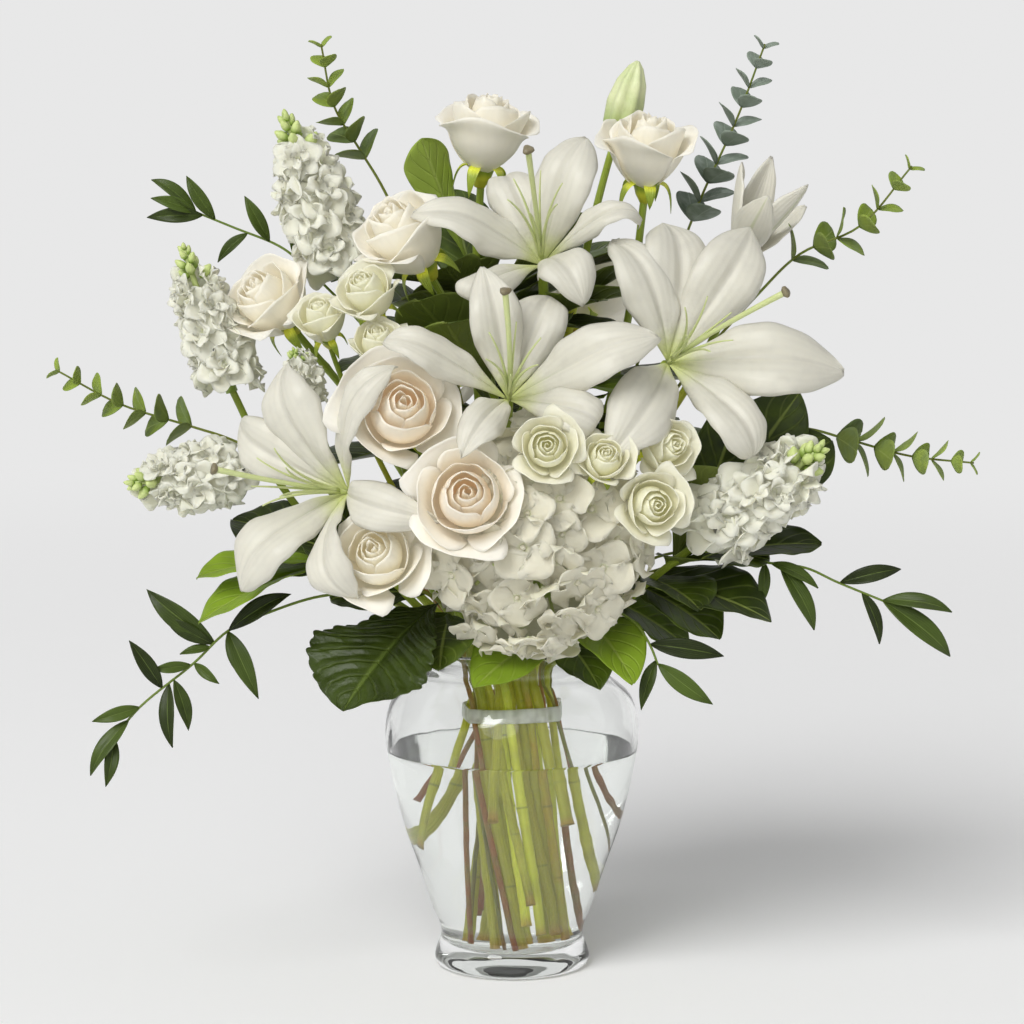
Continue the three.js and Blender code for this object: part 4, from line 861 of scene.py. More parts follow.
# Name, the two places where the stem bends, then of each leaf the places of its start and tip, and its width.
BROAD_LEAVES = [
    ("broad_leaves_left", [(420, 590, -50), (330, 560, -40)], [
        (450, 602, -92, 343, 712, -112, 84), (300, 548, -62, 196, 578, -84, 30),
        (296, 570, -70, 198, 624, -92, 32), (330, 540, -30, 232, 520, -10, 44),
        (400, 560, -40, 300, 540, -50, 54), (420, 600, -40, 330, 600, -50, 50),
        (440, 620, -50, 400, 680, -80, 50), (470, 620, -60, 440, 670, -104, 44),
        (400, 540, -60, 330, 500, -80, 50), (380, 560, -30, 260, 560, -20, 50),
    ]),
    ("broad_leaves_right", [(600, 590, -50), (690, 560, -40)], [
        (640, 590, -60, 772, 622, -80, 56), (566, 604, -54, 634, 684, -116, 44),
        (530, 630, -46, 474, 688, -98, 40), (700, 540, -30, 822, 545, -36, 40),
        (720, 450, -24, 832, 440, -30, 52), (680, 470, -40, 742, 396, -60, 50),
        (660, 520, -50, 724, 470, -84, 46), (640, 560, -60, 700, 610, -96, 48),
        (690, 500, -20, 800, 392, -20, 50), (640, 520, -60, 700, 560, -80, 54),
        (620, 560, -50, 720, 640, -70, 54), (600, 600, -40, 690, 650, -50, 46),
        (560, 620, -30, 600, 690, -70, 40), (690, 500, -30, 770, 560, -50, 50),
    ]),
    ("broad_leaves_top", [(500, 420, 30), (470, 260, 30)], [
        (440, 215, -14, 421, 138, -2, 32), (500, 250, 20, 560, 178, 14, 40),
        (520, 330, -30, 612, 335, -44, 50), (440, 320, -8, 372, 260, 20, 44),
        (470, 400, 40, 370, 320, 92, 46), (500, 340, 30, 620, 240, 80, 50),
        (490, 300, 30, 450, 190, 70, 46), (560, 300, 10, 602, 216, -6, 44),
        (570, 330, 0, 660, 292, -12, 50), (560, 380, 0, 650, 396, -34, 52),
        (450, 320, 0, 446, 268, -24, 38), (430, 380, 0, 338, 372, -40, 44),
        (460, 300, 20, 330, 280, 10, 48), (520, 300, 30, 690, 250, 20, 52),
        (480, 430, 0, 372, 446, -70, 46), (520, 440, 0, 604, 398, -80, 44),
        (540, 360, 30, 640, 344, 16, 62), (440, 400, 30, 420, 320, -6, 56),
        (530, 320, 40, 590, 280, 40, 60), (560, 420, 30, 660, 430, 4, 58),
        (440, 340, 10, 452, 270, 0, 58), (450, 350, 0, 400, 300, -10, 52),
        (600, 350, 20, 648, 262, 10, 56), (580, 400, 10, 700, 380, 10, 58),
        (480, 300, 40, 520, 230, 50, 50), (470, 380, 20, 470, 300, -30, 56),
        (560, 340, 0, 600, 300, -40, 50), (430, 360, 40, 350, 290, 40, 54),
        (600, 440, 0, 720, 450, -20, 58), (440, 430, 0, 340, 430, -20, 56),
        (480, 410, -40, 418, 300, -62, 50), (500, 430, -60, 446, 322, -84, 46),
        (470, 440, -40, 352, 400, -60, 54), (480, 470, -60, 420, 470, -96, 54),
        (530, 400, -40, 640, 396, -74, 56), (520, 350, -20, 560, 330, -70, 46),
        (440, 470, -30, 316, 470, -50, 56), (440, 480, -40, 340, 540, -70, 56),
    ]),
    ("broad_leaves_back", [(512, 520, 70), (520, 440, 100)], [
        (540, 560, 74, 640, 600, 150, 52), (480, 560, 74, 380, 610, 150, 52),
        (512, 500, 90, 512, 560, 176, 50), (560, 470, 90, 680, 420, 128, 50),
        (470, 460, 92, 350, 460, 130, 50), (530, 420, 104, 510, 310, 150, 50),
        (512, 560, 74, 470, 650, 140, 50), (490, 600, 60, 400, 650, 104, 46),
        (530, 600, 60, 610, 655, 104, 46), (480, 520, 74, 400, 540, 130, 50),
        (540, 520, 74, 610, 530, 150, 50), (500, 480, 90, 440, 400, 130, 50),
        (470, 560, 50, 340, 560, 70, 52), (560, 500, 60, 700, 500, 90, 52),
    ]),
]
# The sprig at the back of the bunch takes the darker leaf finish: partly the leaves' own dark green, partly
# painted shade inside the bunch.
SHADED_DARK_SPRIGS = ("broad_leaves_back",)
# Leaves at the outside of the bunch that are painted lighter, as lit, while the other broad leaves are
# painted darker, as in its shade: the sprig's name and the leaf's number.
PAINTED_LIT_LEAVES = (
    ("broad_leaves_top", 0), ("broad_leaves_top", 1), ("broad_leaves_left", 1), ("broad_leaves_left", 2),
    ("broad_leaves_right", 2), ("broad_leaves_right", 1),
)

# ---- the routes of the stems ----


class Shoot:
    """A stem or side shoot: where it ends, the way it points there, the size of the calyx that a rose has,
    the bunch that owns it, its radius, and the points of its route beyond its end."""

    def __init__(self, end, back, calyx=0.0, owner="", radius=0.0, beyond=()):
        self.end = np.asarray(end, float)
        self.back = np.asarray(back, float)
        self.calyx = calyx
        self.owner = owner
        self.radius = radius
        self.beyond = list(beyond)
        self.spot = self.foot = self.route = None


def lily_shoot(lily):
    """The shoot under an open lily, which ends at its throat's foot."""
    _, throat, axis, *_ = lily
    return Shoot(throat - (LILY_THROAT + 2) * axis, axis)


def rose_shoot(rose):
    """The shoot under a rose, with a calyx as large as suits it."""
    _, centre, axis, size, *_ = rose
    return Shoot(centre - ROSE_FOOT * size * axis, axis, 0.17 * size)


def shoot_to(base, tip):
    """The shoot that goes on straight into a flower from its base to its tip."""
    return Shoot(base, unit(tip - base))


def spike_shoot(spike):
    """The shoot that ends just inside a spike of stock."""
    _, base, tip, *_ = spike
    way = unit(tip - base)
    return Shoot(base + 4 * way, way)


# A rose's foot lies this share of its size below its centre.
ROSE_FOOT = 0.43
# The share of its length that a stem's bend lies below its head.
USUAL_BEND = 0.42
OTHER_BENDS = {"rose_stems_left": 0.64, "spray_rose_stem_left": 0.64, "eucalyptus_top_left": 0.34}

# Of each bunch: its name, the radius of its stems, its stems, and the side shoots that leave the first.
STALKS = [
    ("lily_stem_top", 3.6, [lily_shoot(LILIES[0])], [shoot_to(BUD_BASE, BUD_TIP)]),
    ("lily_stem_middle", 3.6, [lily_shoot(LILIES[1])], []),
    ("lily_stem_right", 3.6, [lily_shoot(LILIES[2])], [shoot_to(HALF_OPEN_BASE, HALF_OPEN_TIPS[0])]),
    ("lily_stem_left", 3.6, [lily_shoot(LILIES[3])], []),
    ("rose_stems_left", 2.8, [rose_shoot(ROSES[k]) for k in (2, 3, 6)], []),
    ("rose_stems_front", 2.8, [rose_shoot(ROSES[k]) for k in (4, 5)], []),
    ("rose_stems_top", 2.8, [rose_shoot(ROSES[k]) for k in (0, 1)], []),
    ("rose_stems_back", 2.8, [rose_shoot(ROSES[k]) for k in (7, 8)], []),
    ("spray_rose_stem_right", 2.4, [rose_shoot(SPRAY_ROSES[1])],
     [rose_shoot(SPRAY_ROSES[k]) for k in (0, 2, 3)]),
    ("spray_rose_stem_left", 2.4, [rose_shoot(SPRAY_ROSES[6])],
     [rose_shoot(SPRAY_ROSES[k]) for k in (4, 5)]),
    ("hydrangea_stem", 3.4,
     [Shoot(HYDRANGEA_CENTRE - 0.4 * HYDRANGEA_RADIUS * HYDRANGEA_AXIS, toward(0, -0.7, 0.7))], []),
    ("stock_stems_left", 2.6, [spike_shoot(STOCKS[k]) for k in (0, 1, 2, 4)], []),
    ("stock_stem_right", 2.6, [spike_shoot(STOCKS[3])], []),
]

# Of each sprig: its name, the radius of its stem, and the places of its route.
EUCALYPTUS_STEM = 1.5
RUSCUS_STEM = 1.1
BROAD_STEM = 1.8
SPRIGS = [
    *[(name, EUCALYPTUS_STEM, places) for name, _, _, _, places in EUCALYPTUS],
    *[(name, RUSCUS_STEM, places) for name, _, places, _ in RUSCUS],
    *[(name, BROAD_STEM, places) for name, places, _ in BROAD_LEAVES],
]


def neck_spot(head):
    """Where a stem to a head leaves the neck: the farther it leans, the farther out."""
    lean = head - UP * NECK_HEIGHT
    angle = math.atan2(math.hypot(lean[0], lean[1]), max(lean[2], 1))
    return unit(lean[:2]) * STEM_SPACE * angle / (math.pi / 2)


def make_room(shoots):
    """Moves the stems apart in the neck until each has room; those of one bunch may touch. In each round two
    that are too close each give way by half of what lacks, and each stem then goes a share of the way to the
    middle of its bunch and is held inside the neck."""
    bunches = {shoot.owner: [one for one in shoots if one.owner == shoot.owner] for shoot in shoots}
    for _ in range(MAKING_ROOM_ROUNDS):
        for one in shoots:
            for other in shoots:
                if one is other:
                    continue
                room = one.radius + other.radius
                room = room * BUNCHED_ROOM if one.owner == other.owner else room + STEM_ROOM
                x, y = one.spot[0] - other.spot[0], one.spot[1] - other.spot[1]
                gap = math.hypot(x, y)
                if gap < room:
                    push = ((room - gap) / 2 + 0.01) / max(gap, 1e-9)
                    one.spot = (one.spot[0] + x * push, one.spot[1] + y * push)
                    other.spot = (other.spot[0] - x * push, other.spot[1] - y * push)
        for one in shoots:
            bunch = bunches[one.owner]
            middle = [sum(each.spot[k] for each in bunch) / len(bunch) for k in (0, 1)]
            spot = [(1 - BUNCHING) * one.spot[k] + BUNCHING * middle[k] for k in (0, 1)]
            most = STEM_SPACE - one.radius
            held = min(1.0, most / max(math.hypot(*spot), 1e-9))
            one.spot = (spot[0] * held, spot[1] * held)


def feet_under(shoots):
    """Where the stems end below: turned on round the vase as they go down and spread toward its wall, the
    short ones high up. Then, where two stems come too close at a level, both feet are pushed apart by a share
    of what lacks, as large as the foot's part in that level, and held inside the wall."""
    random = draws(11)
    drawn = np.array([next(random) for _ in shoots])
    radius = np.array([shoot.radius for shoot in shoots])
    neck = np.array([shoot.spot for shoot in shoots])
    height = STEM_FOOT + 6 * drawn + MOST_CUT * smooth(drawn, SHORT_FROM, 1.0)
    wall = np.interp(height, WALL_HEIGHTS, WALL_RADII) - radius - 2
    turn = STEM_TWIST * (NECK_HEIGHT - height) / (NECK_HEIGHT - STEM_FOOT)
    angle = np.arctan2(neck[:, 1], neck[:, 0]) + turn
    out = wall * (np.hypot(neck[:, 0], neck[:, 1]) / STEM_SPACE) ** STEM_SPREAD
    feet = np.stack([out * np.cos(angle), out * np.sin(angle)], 1)
    room = radius[:, None] + radius + FEET_ROOM
    for _ in range(FEET_ROUNDS):
        push = np.zeros_like(feet)
        for level in FEET_LEVELS:
            share = ((NECK_HEIGHT - level) / (NECK_HEIGHT - height))[:, None]
            there = (share <= 1).astype(float)
            places = neck + share * (feet - neck)
            apart = places[:, None] - places
            gap = np.linalg.norm(apart, axis=2) + 1e-9
            lack = np.maximum(room - gap, 0) * there * there.T
            push += (apart * (lack / gap)[..., None]).sum(1) * share * FEET_EASING
        feet = feet + push
        feet = feet * np.minimum(1, wall / np.hypot(feet[:, 0], feet[:, 1]))[:, None]
    for shoot, foot, level in zip(shoots, feet, height):
        shoot.foot = np.array([*foot, level])


def laid_out():
    """All stems with their routes: aslant through the water to the neck, then on and bent up to each head."""
    shoots = []
    for owner, radius, own, _ in STALKS:
        for shoot in own:
            shoot.owner, shoot.radius = owner, radius
            shoots.append(shoot)
    for owner, radius, places in SPRIGS:
        first, *beyond = [at(*place) for place in places]
        shoots.append(Shoot(first, unit(beyond[0] - first), 0, owner, radius, beyond))
    for shoot in shoots:
        shoot.spot = tuple(neck_spot(shoot.end))
    make_room(shoots)
    feet_under(shoots)
    for shoot in shoots:
        neck = np.array([*shoot.spot, NECK_HEIGHT])
        share = OTHER_BENDS.get(shoot.owner, USUAL_BEND)
        bend = shoot.end - shoot.back * share * np.linalg.norm(shoot.end - neck)
        rise = bent(neck, bend, shoot.end, np.linspace(0, 1, 4))
        shoot.route = [shoot.foot, *rise, *shoot.beyond]
    return shoots


SHOOTS = laid_out()


def route_of(owner):
    """The route of a sprig's stem, or of the first stem of a bunch."""
    return next(shoot.route for shoot in SHOOTS if shoot.owner == owner)


def rounded(route, steps=7):
    """A route with its corners rounded: a smooth line through its points and through two on its long foot."""
    foot, neck = route[0], route[1]
    return flowing([foot, foot * 0.6 + neck * 0.4, foot * 0.2 + neck * 0.8, *route[1:]], steps)


def nearest(route, place):
    """The point of a route, short of its very end, that lies nearest to a place, out of 24 on each leg."""
    steps = 24 * (len(route) - 1)
    share = np.linspace(0, len(route) - 1, steps + 1)[:-2]
    points = np.stack([np.interp(share, np.arange(len(route)), np.array(route)[:, k]) for k in range(3)], 1)
    return points[int(np.argmin(np.linalg.norm(points - place, axis=1)))]


# ---- flowers ----


def tepals(shells, throat, axis, leaves):
    """The six tepals of an open lily: each bends out from the funnel, arches up and folds back at its tip,
    with a groove along its rib and a waved, frilled edge."""
    root = throat - axis * LILY_THROAT
    for k, (*place, width, reach, lift) in enumerate(leaves):
        tip = at(*place)
        out = tip - throat
        bend = throat + (out - axis * (out @ axis)) * reach + axis * lift
        sheet = ribbon(
            root, bend, tip, axis, width, 48, 25, fullest=0.58, fill=0.86, fold=0.2, wave=3.6, waves=1.5,
            phase=k, groove=1.7, frill=0.8, curl=0.45, droop=0.4,
        )
        blade(shells, sheet, TEPAL_THICKNESS, k / 6)


def pistil(shells, throat, axis, style):
    """A lily's style with its three-lobed stigma, and six filaments that curve out round it."""
    root = throat - axis * LILY_THROAT
    ahead = throat + axis * 1.5 * LILY_THROAT
    share = np.linspace(0, 1, 22)
    tube(shells, bent(root, ahead, style, share), 1.3 + 0.6 * share**2, 10)
    stigma = Shells()
    profile = [(0, -2.4), (2.1, -1.8), (3.4, -0.2), (3.1, 1.2), (1.6, 1.7), (0, 1.1)]
    turned(stigma, profile, 18, ribs=3, rib_depth=0.16, depth=1.0)
    placed(shells, stigma, basis(bent_way(root, ahead, style, np.array([1.0]))[0]), style)
    axes = basis(axis)
    for k in range(6):
        aside = beside(axes, k * math.pi / 3 + 0.4)
        end = throat + axis * 40 + aside * 17 + ABOVE * 3
        line = bent(root, throat + axis * 24 + aside * 3, end, np.linspace(0.1, 1, 16))
        tube(shells, line, np.linspace(1.15, 0.45, 16), 6)


def half_open(shells):
    """Tepals that still stand together round a slim throat, with their tips turned out."""
    axis = unit(sum(HALF_OPEN_TIPS) / len(HALF_OPEN_TIPS) - HALF_OPEN_BASE)
    for k, tip in enumerate(HALF_OPEN_TIPS):
        out = tip - HALF_OPEN_BASE
        aside = unit(out - axis * (out @ axis))
        bend = HALF_OPEN_BASE * 0.55 + tip * 0.45 + aside * 7
        sheet = ribbon(
            HALF_OPEN_BASE, bend, tip, -aside, HALF_OPEN_WIDTH, 26, 13, fold=0.45, wave=0.9, waves=1.5,
            phase=k, groove=-0.8, frill=0.3,
        )
        blade(shells, sheet, 2 * TEPAL_THICKNESS, k / 6)
    share = np.linspace(0, 1, 12)
    tube(shells, HALF_OPEN_BASE + axis * 32 * share[:, None], 2.2 + 5 * share, 12)


def bud(shells):
    """A shut bud: a long drop with six soft ribs, blunt at its tip. It is a rod whose radius is its width
    times a share that is given at seven places along it."""
    share = np.linspace(0, 1, 30)
    line = BUD_BASE + (BUD_TIP - BUD_BASE) * share[:, None]
    part = np.interp(share, [0, 0.06, 0.25, 0.5, 0.75, 0.93, 1], [0.14, 0.3, 0.44, 0.5, 0.4, 0.2, 0.05])
    tube(shells, line, part * BUD_WIDTH, 36, ribs=6, rib_depth=0.13)


def rose_petals(shells, size, count, seed, open_share):
    """A rose round the Z axis: petals wound outward by the golden angle. In the heart they wrap tight and
    tall. Farther out each is a broad cup, whose radius swells from the foot and whose rim rolls outward and
    down, most at its two corners, so that it ends in a soft point. Its width is that of a shield."""
    random = np.random.default_rng(seed)
    along = np.linspace(0, 1, 16)[:, None]
    across = np.linspace(-1, 1, 17)[None, :]
    for k in range(count):
        out = (k + 0.5) / count
        outer = float(smooth(out, 0.45, 0.95))
        spread = 2.2 - 1.1 * out**0.5
        radius = size / 2 * (0.07 + 0.84 * out**0.92) * random.uniform(0.95, 1.05)
        height = size * (0.80 + 0.05 * out - (0.07 + 0.2 * open_share) * out**2.5)
        height = height * random.uniform(0.94, 1.03)
        roll = outer * (0.55 + 0.45 * open_share)
        shield = np.sin(math.pi * (0.10 + 0.70 * along**0.9)) ** 0.55
        swell = np.sin(np.minimum(1, along * 1.15) * math.pi / 2) ** (0.75 - 0.15 * open_share)
        lip = smooth(along, 0.58, 1.04)
        ripple = np.sin(4 * across + k) + 0.5 * np.sin(9 * across + 2 * k)
        angle = k * GOLDEN + seed + spread * shield * across
        point = np.exp(-((across / 0.35) ** 2)) * 0.05 * lip * outer * (1 - 0.6 * open_share)
        corner = 0.34 - 0.2 * open_share
        tuck = (1 - outer) * (0.5 - 0.4 * out)
        reach = radius * (
            0.06 + 0.94 * swell + roll * lip * (0.26 + corner * across**2) - tuck * lip
            + 0.05 * across + 0.03 * ripple * lip
        )
        rise = height * (
            along - roll * lip**1.5 * (0.14 + 0.5 * corner * across**2) - 0.08 * across**2 * along + point
            + 0.012 * ripple * lip
        )
        sheet = np.stack([reach * np.cos(angle), reach * np.sin(angle), rise], -1)
        blade(shells, sheet, PETAL_THICKNESS, random.random(), 1 - out)


def rose(name, centre, axis, size, count, seed, material, slot, open_share):
    """Makes a rose a piece: its petals, turned from the Z axis to the rose's own, with its foot below."""
    bloom, shells = Shells(), Shells()
    rose_petals(bloom, size, count, seed, open_share)
    placed(shells, bloom, basis(axis, seed), centre - axis * size * ROSE_FOOT)
    shells.piece(name + "_petals", finish(material), [name], slot)


def floret_shape(petals, inner, seed, rows, columns):
    """One floret of radius 1, open along Z: broad round petals that dish and wave, shorter ones that stand
    up inside them, and a small knob."""
    random = np.random.default_rng(seed)
    shape = Shells()
    for k in range(petals + inner):
        within = k >= petals
        length = (0.55 if within else 1.0) * random.uniform(0.86, 1.06)
        angle = 2 * math.pi * k / (inner if within else petals) + random.uniform(-0.15, 0.15)
        out = np.array([math.cos(angle), math.sin(angle), 0])
        lift = 0.2 + (0.45 if within else 0) + random.uniform(-0.12, 0.12)
        tip = out * length + UP * lift
        bend = out * 0.45 * length + UP * (0.16 + 0.3 * within)
        width = (1.16 if petals < 5 else 0.9) * length
        sheet = ribbon(
            np.zeros(3), bend, tip, unit(UP - out * 0.2), width, rows, columns, fullest=0.62, fill=0.7,
            fold=0.1, wave=0.17, waves=1.4, phase=6 * random.random(), frill=0.09 + 0.012 * inner,
            blunt=0.13, rounding=0.22,
        )
        blade(shape, sheet, FLORET_THICKNESS)
    turned(shape, [(0, -0.05), (0.09, 0.02), (0.08, 0.12), (0, 0.15)], 6)
    return shape


def ball_ways(count, cover, axis):
    """Directions from the middle of a ball, by the golden angle round an axis: each lies a step lower than
    the last, from the top down, until they cover a share of the ball's height."""
    k = np.arange(count)
    rise = 1 - 2 * cover * (k + 0.5) / count
    flat = np.sqrt(1 - rise**2)
    return np.stack([flat * np.cos(GOLDEN * k), flat * np.sin(GOLDEN * k), rise], 1) @ basis(axis).T


def hydrangea(shells):
    """A ball of florets: they stand all round the head by the golden angle, but for the side of its stalk,
    in two depths, each turned and tipped a little its own way."""
    random = np.random.default_rng(77)
    out = ball_ways(FLORETS, 0.86, HYDRANGEA_AXIS)
    radius = HYDRANGEA_RADIUS * random.uniform(0.84, 1.0, FLORETS)
    radius[::4] -= 6
    radius = radius + 9 * smooth(-out[:, 2], 0.55, 0.95)
    tipped = unit(out + random.normal(0, 0.3, (FLORETS, 3)))
    places = HYDRANGEA_CENTRE + out * radius[:, None]
    sizes = random.uniform(17.0, 22.0, FLORETS)
    spins = random.uniform(0, 6.28, FLORETS)
    tones = random.random(FLORETS)
    for which in range(3):
        pick = np.arange(FLORETS) % 3 == which
        shape = floret_shape(4, 0, 20 + which, 7, 7)
        copies(shells, shape, basis(tipped[pick], spins[pick]), places[pick], sizes[pick], tones[pick])


def hydrangea_heart(shells):
    """The stalks inside the head: thin rods from its middle to the florets, and a small green core."""
    random = np.random.default_rng(5)
    for way in ball_ways(60, 0.85, HYDRANGEA_AXIS):
        line = HYDRANGEA_CENTRE + way * np.linspace(6, HYDRANGEA_RADIUS * 0.86, 5)[:, None]
        tube(shells, line, 1.1, 5, random.random() * 0.4)
    ball = Shells()
    heights = np.linspace(-1, 1, 14)
    core = 0.66 * HYDRANGEA_RADIUS
    turned(ball, np.stack([np.sqrt(1 - heights**2) * core, heights * core], 1), 24, ribs=7, rib_depth=0.05)
    placed(shells, ball, np.eye(3), HYDRANGEA_CENTRE)


def raised(angle, lean, turn):
    """Directions at angles round the third axis of a turn: cosine, sine and lean, made 1 long."""
    return unit(np.stack([np.cos(angle), np.sin(angle), lean], 1)) @ turn.T


def stock(florets, buds, base, tip, width, count, bud_count, seed):
    """A spike: double ruffled florets wound round it by the golden angle, smaller toward the tip, where
    shut green buds stand up."""
    random = np.random.default_rng(seed)
    way = unit(tip - base)
    length = np.linalg.norm(tip - base)
    turn = basis(way)
    k = np.arange(count)
    angle = GOLDEN * k + random.uniform(-0.2, 0.2, count)
    out = raised(angle, np.full(count, 0.32), turn)
    share = 0.06 + 0.72 * k / count
    places = base + way * (length * share)[:, None] + out * (width * (0.24 - 0.09 * share))[:, None]
    sizes = width * (0.45 - 0.15 * share) * random.uniform(0.85, 1.15, count)
    for which in range(2):
        pick = k % 2 == which
        shape = floret_shape(6, 5, 40 + which, 5, 7)
        turns = basis(out[pick], 6 * random.random(pick.sum()))
        copies(florets, shape, turns, places[pick], sizes[pick], random.random(pick.sum()))
    knob = Shells()
    profile = [(0, -0.1), (0.3, 0.05), (0.5, 0.5), (0.42, 1.0), (0.16, 1.45), (0, 1.55)]
    turned(knob, profile, 10, ribs=4, rib_depth=0.07)
    k = np.arange(bud_count)
    out = raised(GOLDEN * k, 0.7 + 1.6 * k / bud_count, turn)
    rise = 0.72 + 0.24 * (k + 0.5) / bud_count
    places = base + way * (length * rise)[:, None] + out * (width * (0.12 - 0.1 * k / bud_count))[:, None]
    sizes = width * np.linspace(0.15, 0.075, bud_count)
    copies(buds, knob, basis(out), places, sizes, random.random(bud_count))
    line = base + way * (length * np.linspace(0, 0.97, 12))[:, None]
    tube(buds, line, width * np.linspace(0.085, 0.03, 12), 8)


def eucalyptus(shells, stem, owner, pairs, smallest, largest, route):
    """A sprig: round dished leaves in pairs, each pair crosswise to the last and larger away from the tip."""
    share = 0.98 - 0.88 * np.arange(pairs) / pairs
    points = [at(*place) for place in route]
    places, ahead = spaced(flowing(points, 12), share)
    for k in range(pairs):
        size = smallest + (largest - smallest) * (k / pairs) ** 0.7
        first = unit(np.cross(ahead[k], toward(0, -1, 0.3)))
        axes = np.stack([first, np.cross(ahead[k], first)], 1)
        crosswise = (k % 2) * math.pi / 2 + 0.5
        for side in (0, math.pi):
            out = beside(axes, crosswise + side)
            tip = places[k] + out * size * 0.8 + ahead[k] * size * 0.55
            face = unit(ahead[k] - out * 0.5)
            tone = 0.9 - 0.75 * k / pairs
            leaf(
                shells, places[k] + out * 0.7, tip, size * 0.86, face, 0.1, 10, 9, tone, fullest=0.56,
                fill=0.52, fold=0.12, wave=0.35, waves=1.0, phase=k,
            )
    line = rounded([*route_of(owner)[:-len(points) + 1], *points[1:]])
    tube(stem, line, np.linspace(EUCALYPTUS_STEM, 0.6, len(line)), 8, 0.9)


def ruscus(shells, stem, owner, depth, leaves):
    """A sprig of narrow pointed leaves, stiff and smooth."""
    route = route_of(owner)
    sway = draws(depth * depth)
    front = toward(0.1, -0.75, 0.65)
    for from_x, from_y, to_x, to_y in leaves:
        root = nearest(route[-4:], at(from_x, from_y, depth))
        tip = at(to_x, to_y, root[1] - 10 * next(sway))
        face = unit(front + toward(next(sway) - 0.5, -0.5, next(sway) - 0.5))
        width = 0.24 * np.linalg.norm(tip - root) + 1.2
        leaf(
            shells, root, tip, width, face, 0.18, 18, 9, next(sway), fullest=0.46, fill=0.95, fold=0.3,
            wave=0.6, waves=0.8, phase=depth, groove=0.4, droop=0.12,
        )
    line = rounded(route)
    tube(stem, line, np.linspace(RUSCUS_STEM, 0.7, len(line)), 8, 0.35)


def broad_leaves(shells, crinkled, stem, owner, leaves):
    """A sprig of broad leaves with sunk veins, waved edges and a fold along the rib. Of a very broad one the
    blade also swells between its side veins and its rim has teeth."""
    route = route_of(owner)
    for k, (*places, width) in enumerate(leaves):
        start, tip = at(*places[:3]), at(*places[3:])
        root = nearest(route[-4:], start)
        side = unit(np.array([root[0] + tip[0], root[1] + tip[1], 0]))
        face = unit(side * 0.5 + toward(0, -0.3, 1))
        stalk = np.linalg.norm(root - start) / np.linalg.norm(root - tip)
        form = {"fullest": 0.48 + 0.4 * stalk, "fill": 0.8, "phase": k, "groove": 0.9}
        if width > WIDE_LEAF:
            leaf(
                crinkled, root, tip, width, face, 0.14, 110, 61, 0.5, fold=0.14, wave=3.4, waves=2.2,
                frill=1.2, teeth=17, veins=9, pillow=2.4, **form,
            )
        else:
            # Listed outer leaves get a high tone, painted lighter as lit; the others get low tones, painted
            # darker as in the bunch's shade.
            tone = 0.78 if (owner, k) in PAINTED_LIT_LEAVES else (k * 0.37) % 0.35
            leaf(shells, root, tip, width, face, 0.14, 42, 17, tone, fold=0.22, wave=1.5, waves=1.7,
                 frill=0.4, veins=7, pillow=0.5, **form)
    line = rounded(route)
    tube(stem, line, np.linspace(BROAD_STEM, 1.1, len(line)), 8, 1.0)


# ---- stems, vase and water ----


def stalks(shells, owner, radius, side, seed):
    """The stems of a bunch with their knots, the side shoots, and under each rose a calyx with sepals. A
    knot swells the stem as e to the minus square of the way from it, in knot lengths."""
    random = np.random.default_rng(seed)
    own = [shoot for shoot in SHOOTS if shoot.owner == owner]
    tone = random.random()
    for shoot in own:
        line, _ = spaced(rounded(shoot.route, 9), 90)
        share = np.linspace(0, 1, 90)
        from_knot = ((share / KNOTS_APART + 0.5) % 1 - 0.5) * KNOTS_APART
        knots = np.exp(-((from_knot / KNOT_LENGTH) ** 2))
        wide = radius * (1.02 - 0.18 * share + KNOT_SWELL * knots)
        tube(shells, line, wide, 12, 0.25 * tone + 0.75 * random.random(), ribs=3, rib_depth=0.03)
    fork = own[0].route[2]
    for shoot in side:
        bend = shoot.end - shoot.back * 0.35 * np.linalg.norm(shoot.end - fork)
        line = bent(fork, bend, shoot.end, np.linspace(0, 1, 24))
        tube(shells, line, np.linspace(0.78, 0.62, 24) * radius, 10, tone)
    for shoot in [*own, *side]:
        if shoot.calyx:
            calyx(shells, shoot, random)


def calyx(shells, shoot, random):
    """A small green cup under a rose, and five narrow sepals that curl down from it."""
    way = unit(shoot.back)
    turn = basis(way, random.uniform(0, 1.2))
    cup = Shells()
    size = shoot.calyx
    profile = [(0, -0.95), (0.32, -0.85), (0.62, -0.3), (0.78, 0.3), (0.95, 0.75), (0, 0.8)]
    turned(cup, np.array(profile) * size, 14)
    placed(shells, cup, turn, shoot.end)
    for k in range(5):
        aside = beside(turn, 2 * math.pi * k / 5)
        root = shoot.end + way * size * 0.4 + aside * size * 0.6
        tip = shoot.end - way * size * random.uniform(0.9, 1.5) + aside * size * random.uniform(1.5, 2.1)
        bend = shoot.end + way * size * 0.7 + aside * size * 1.6
        sheet = ribbon(root, bend, tip, way, size * 0.75, 10, 5, fullest=0.36, fill=0.8, fold=0.25)
        blade(shells, sheet, LEAF_THICKNESS, 0.3)


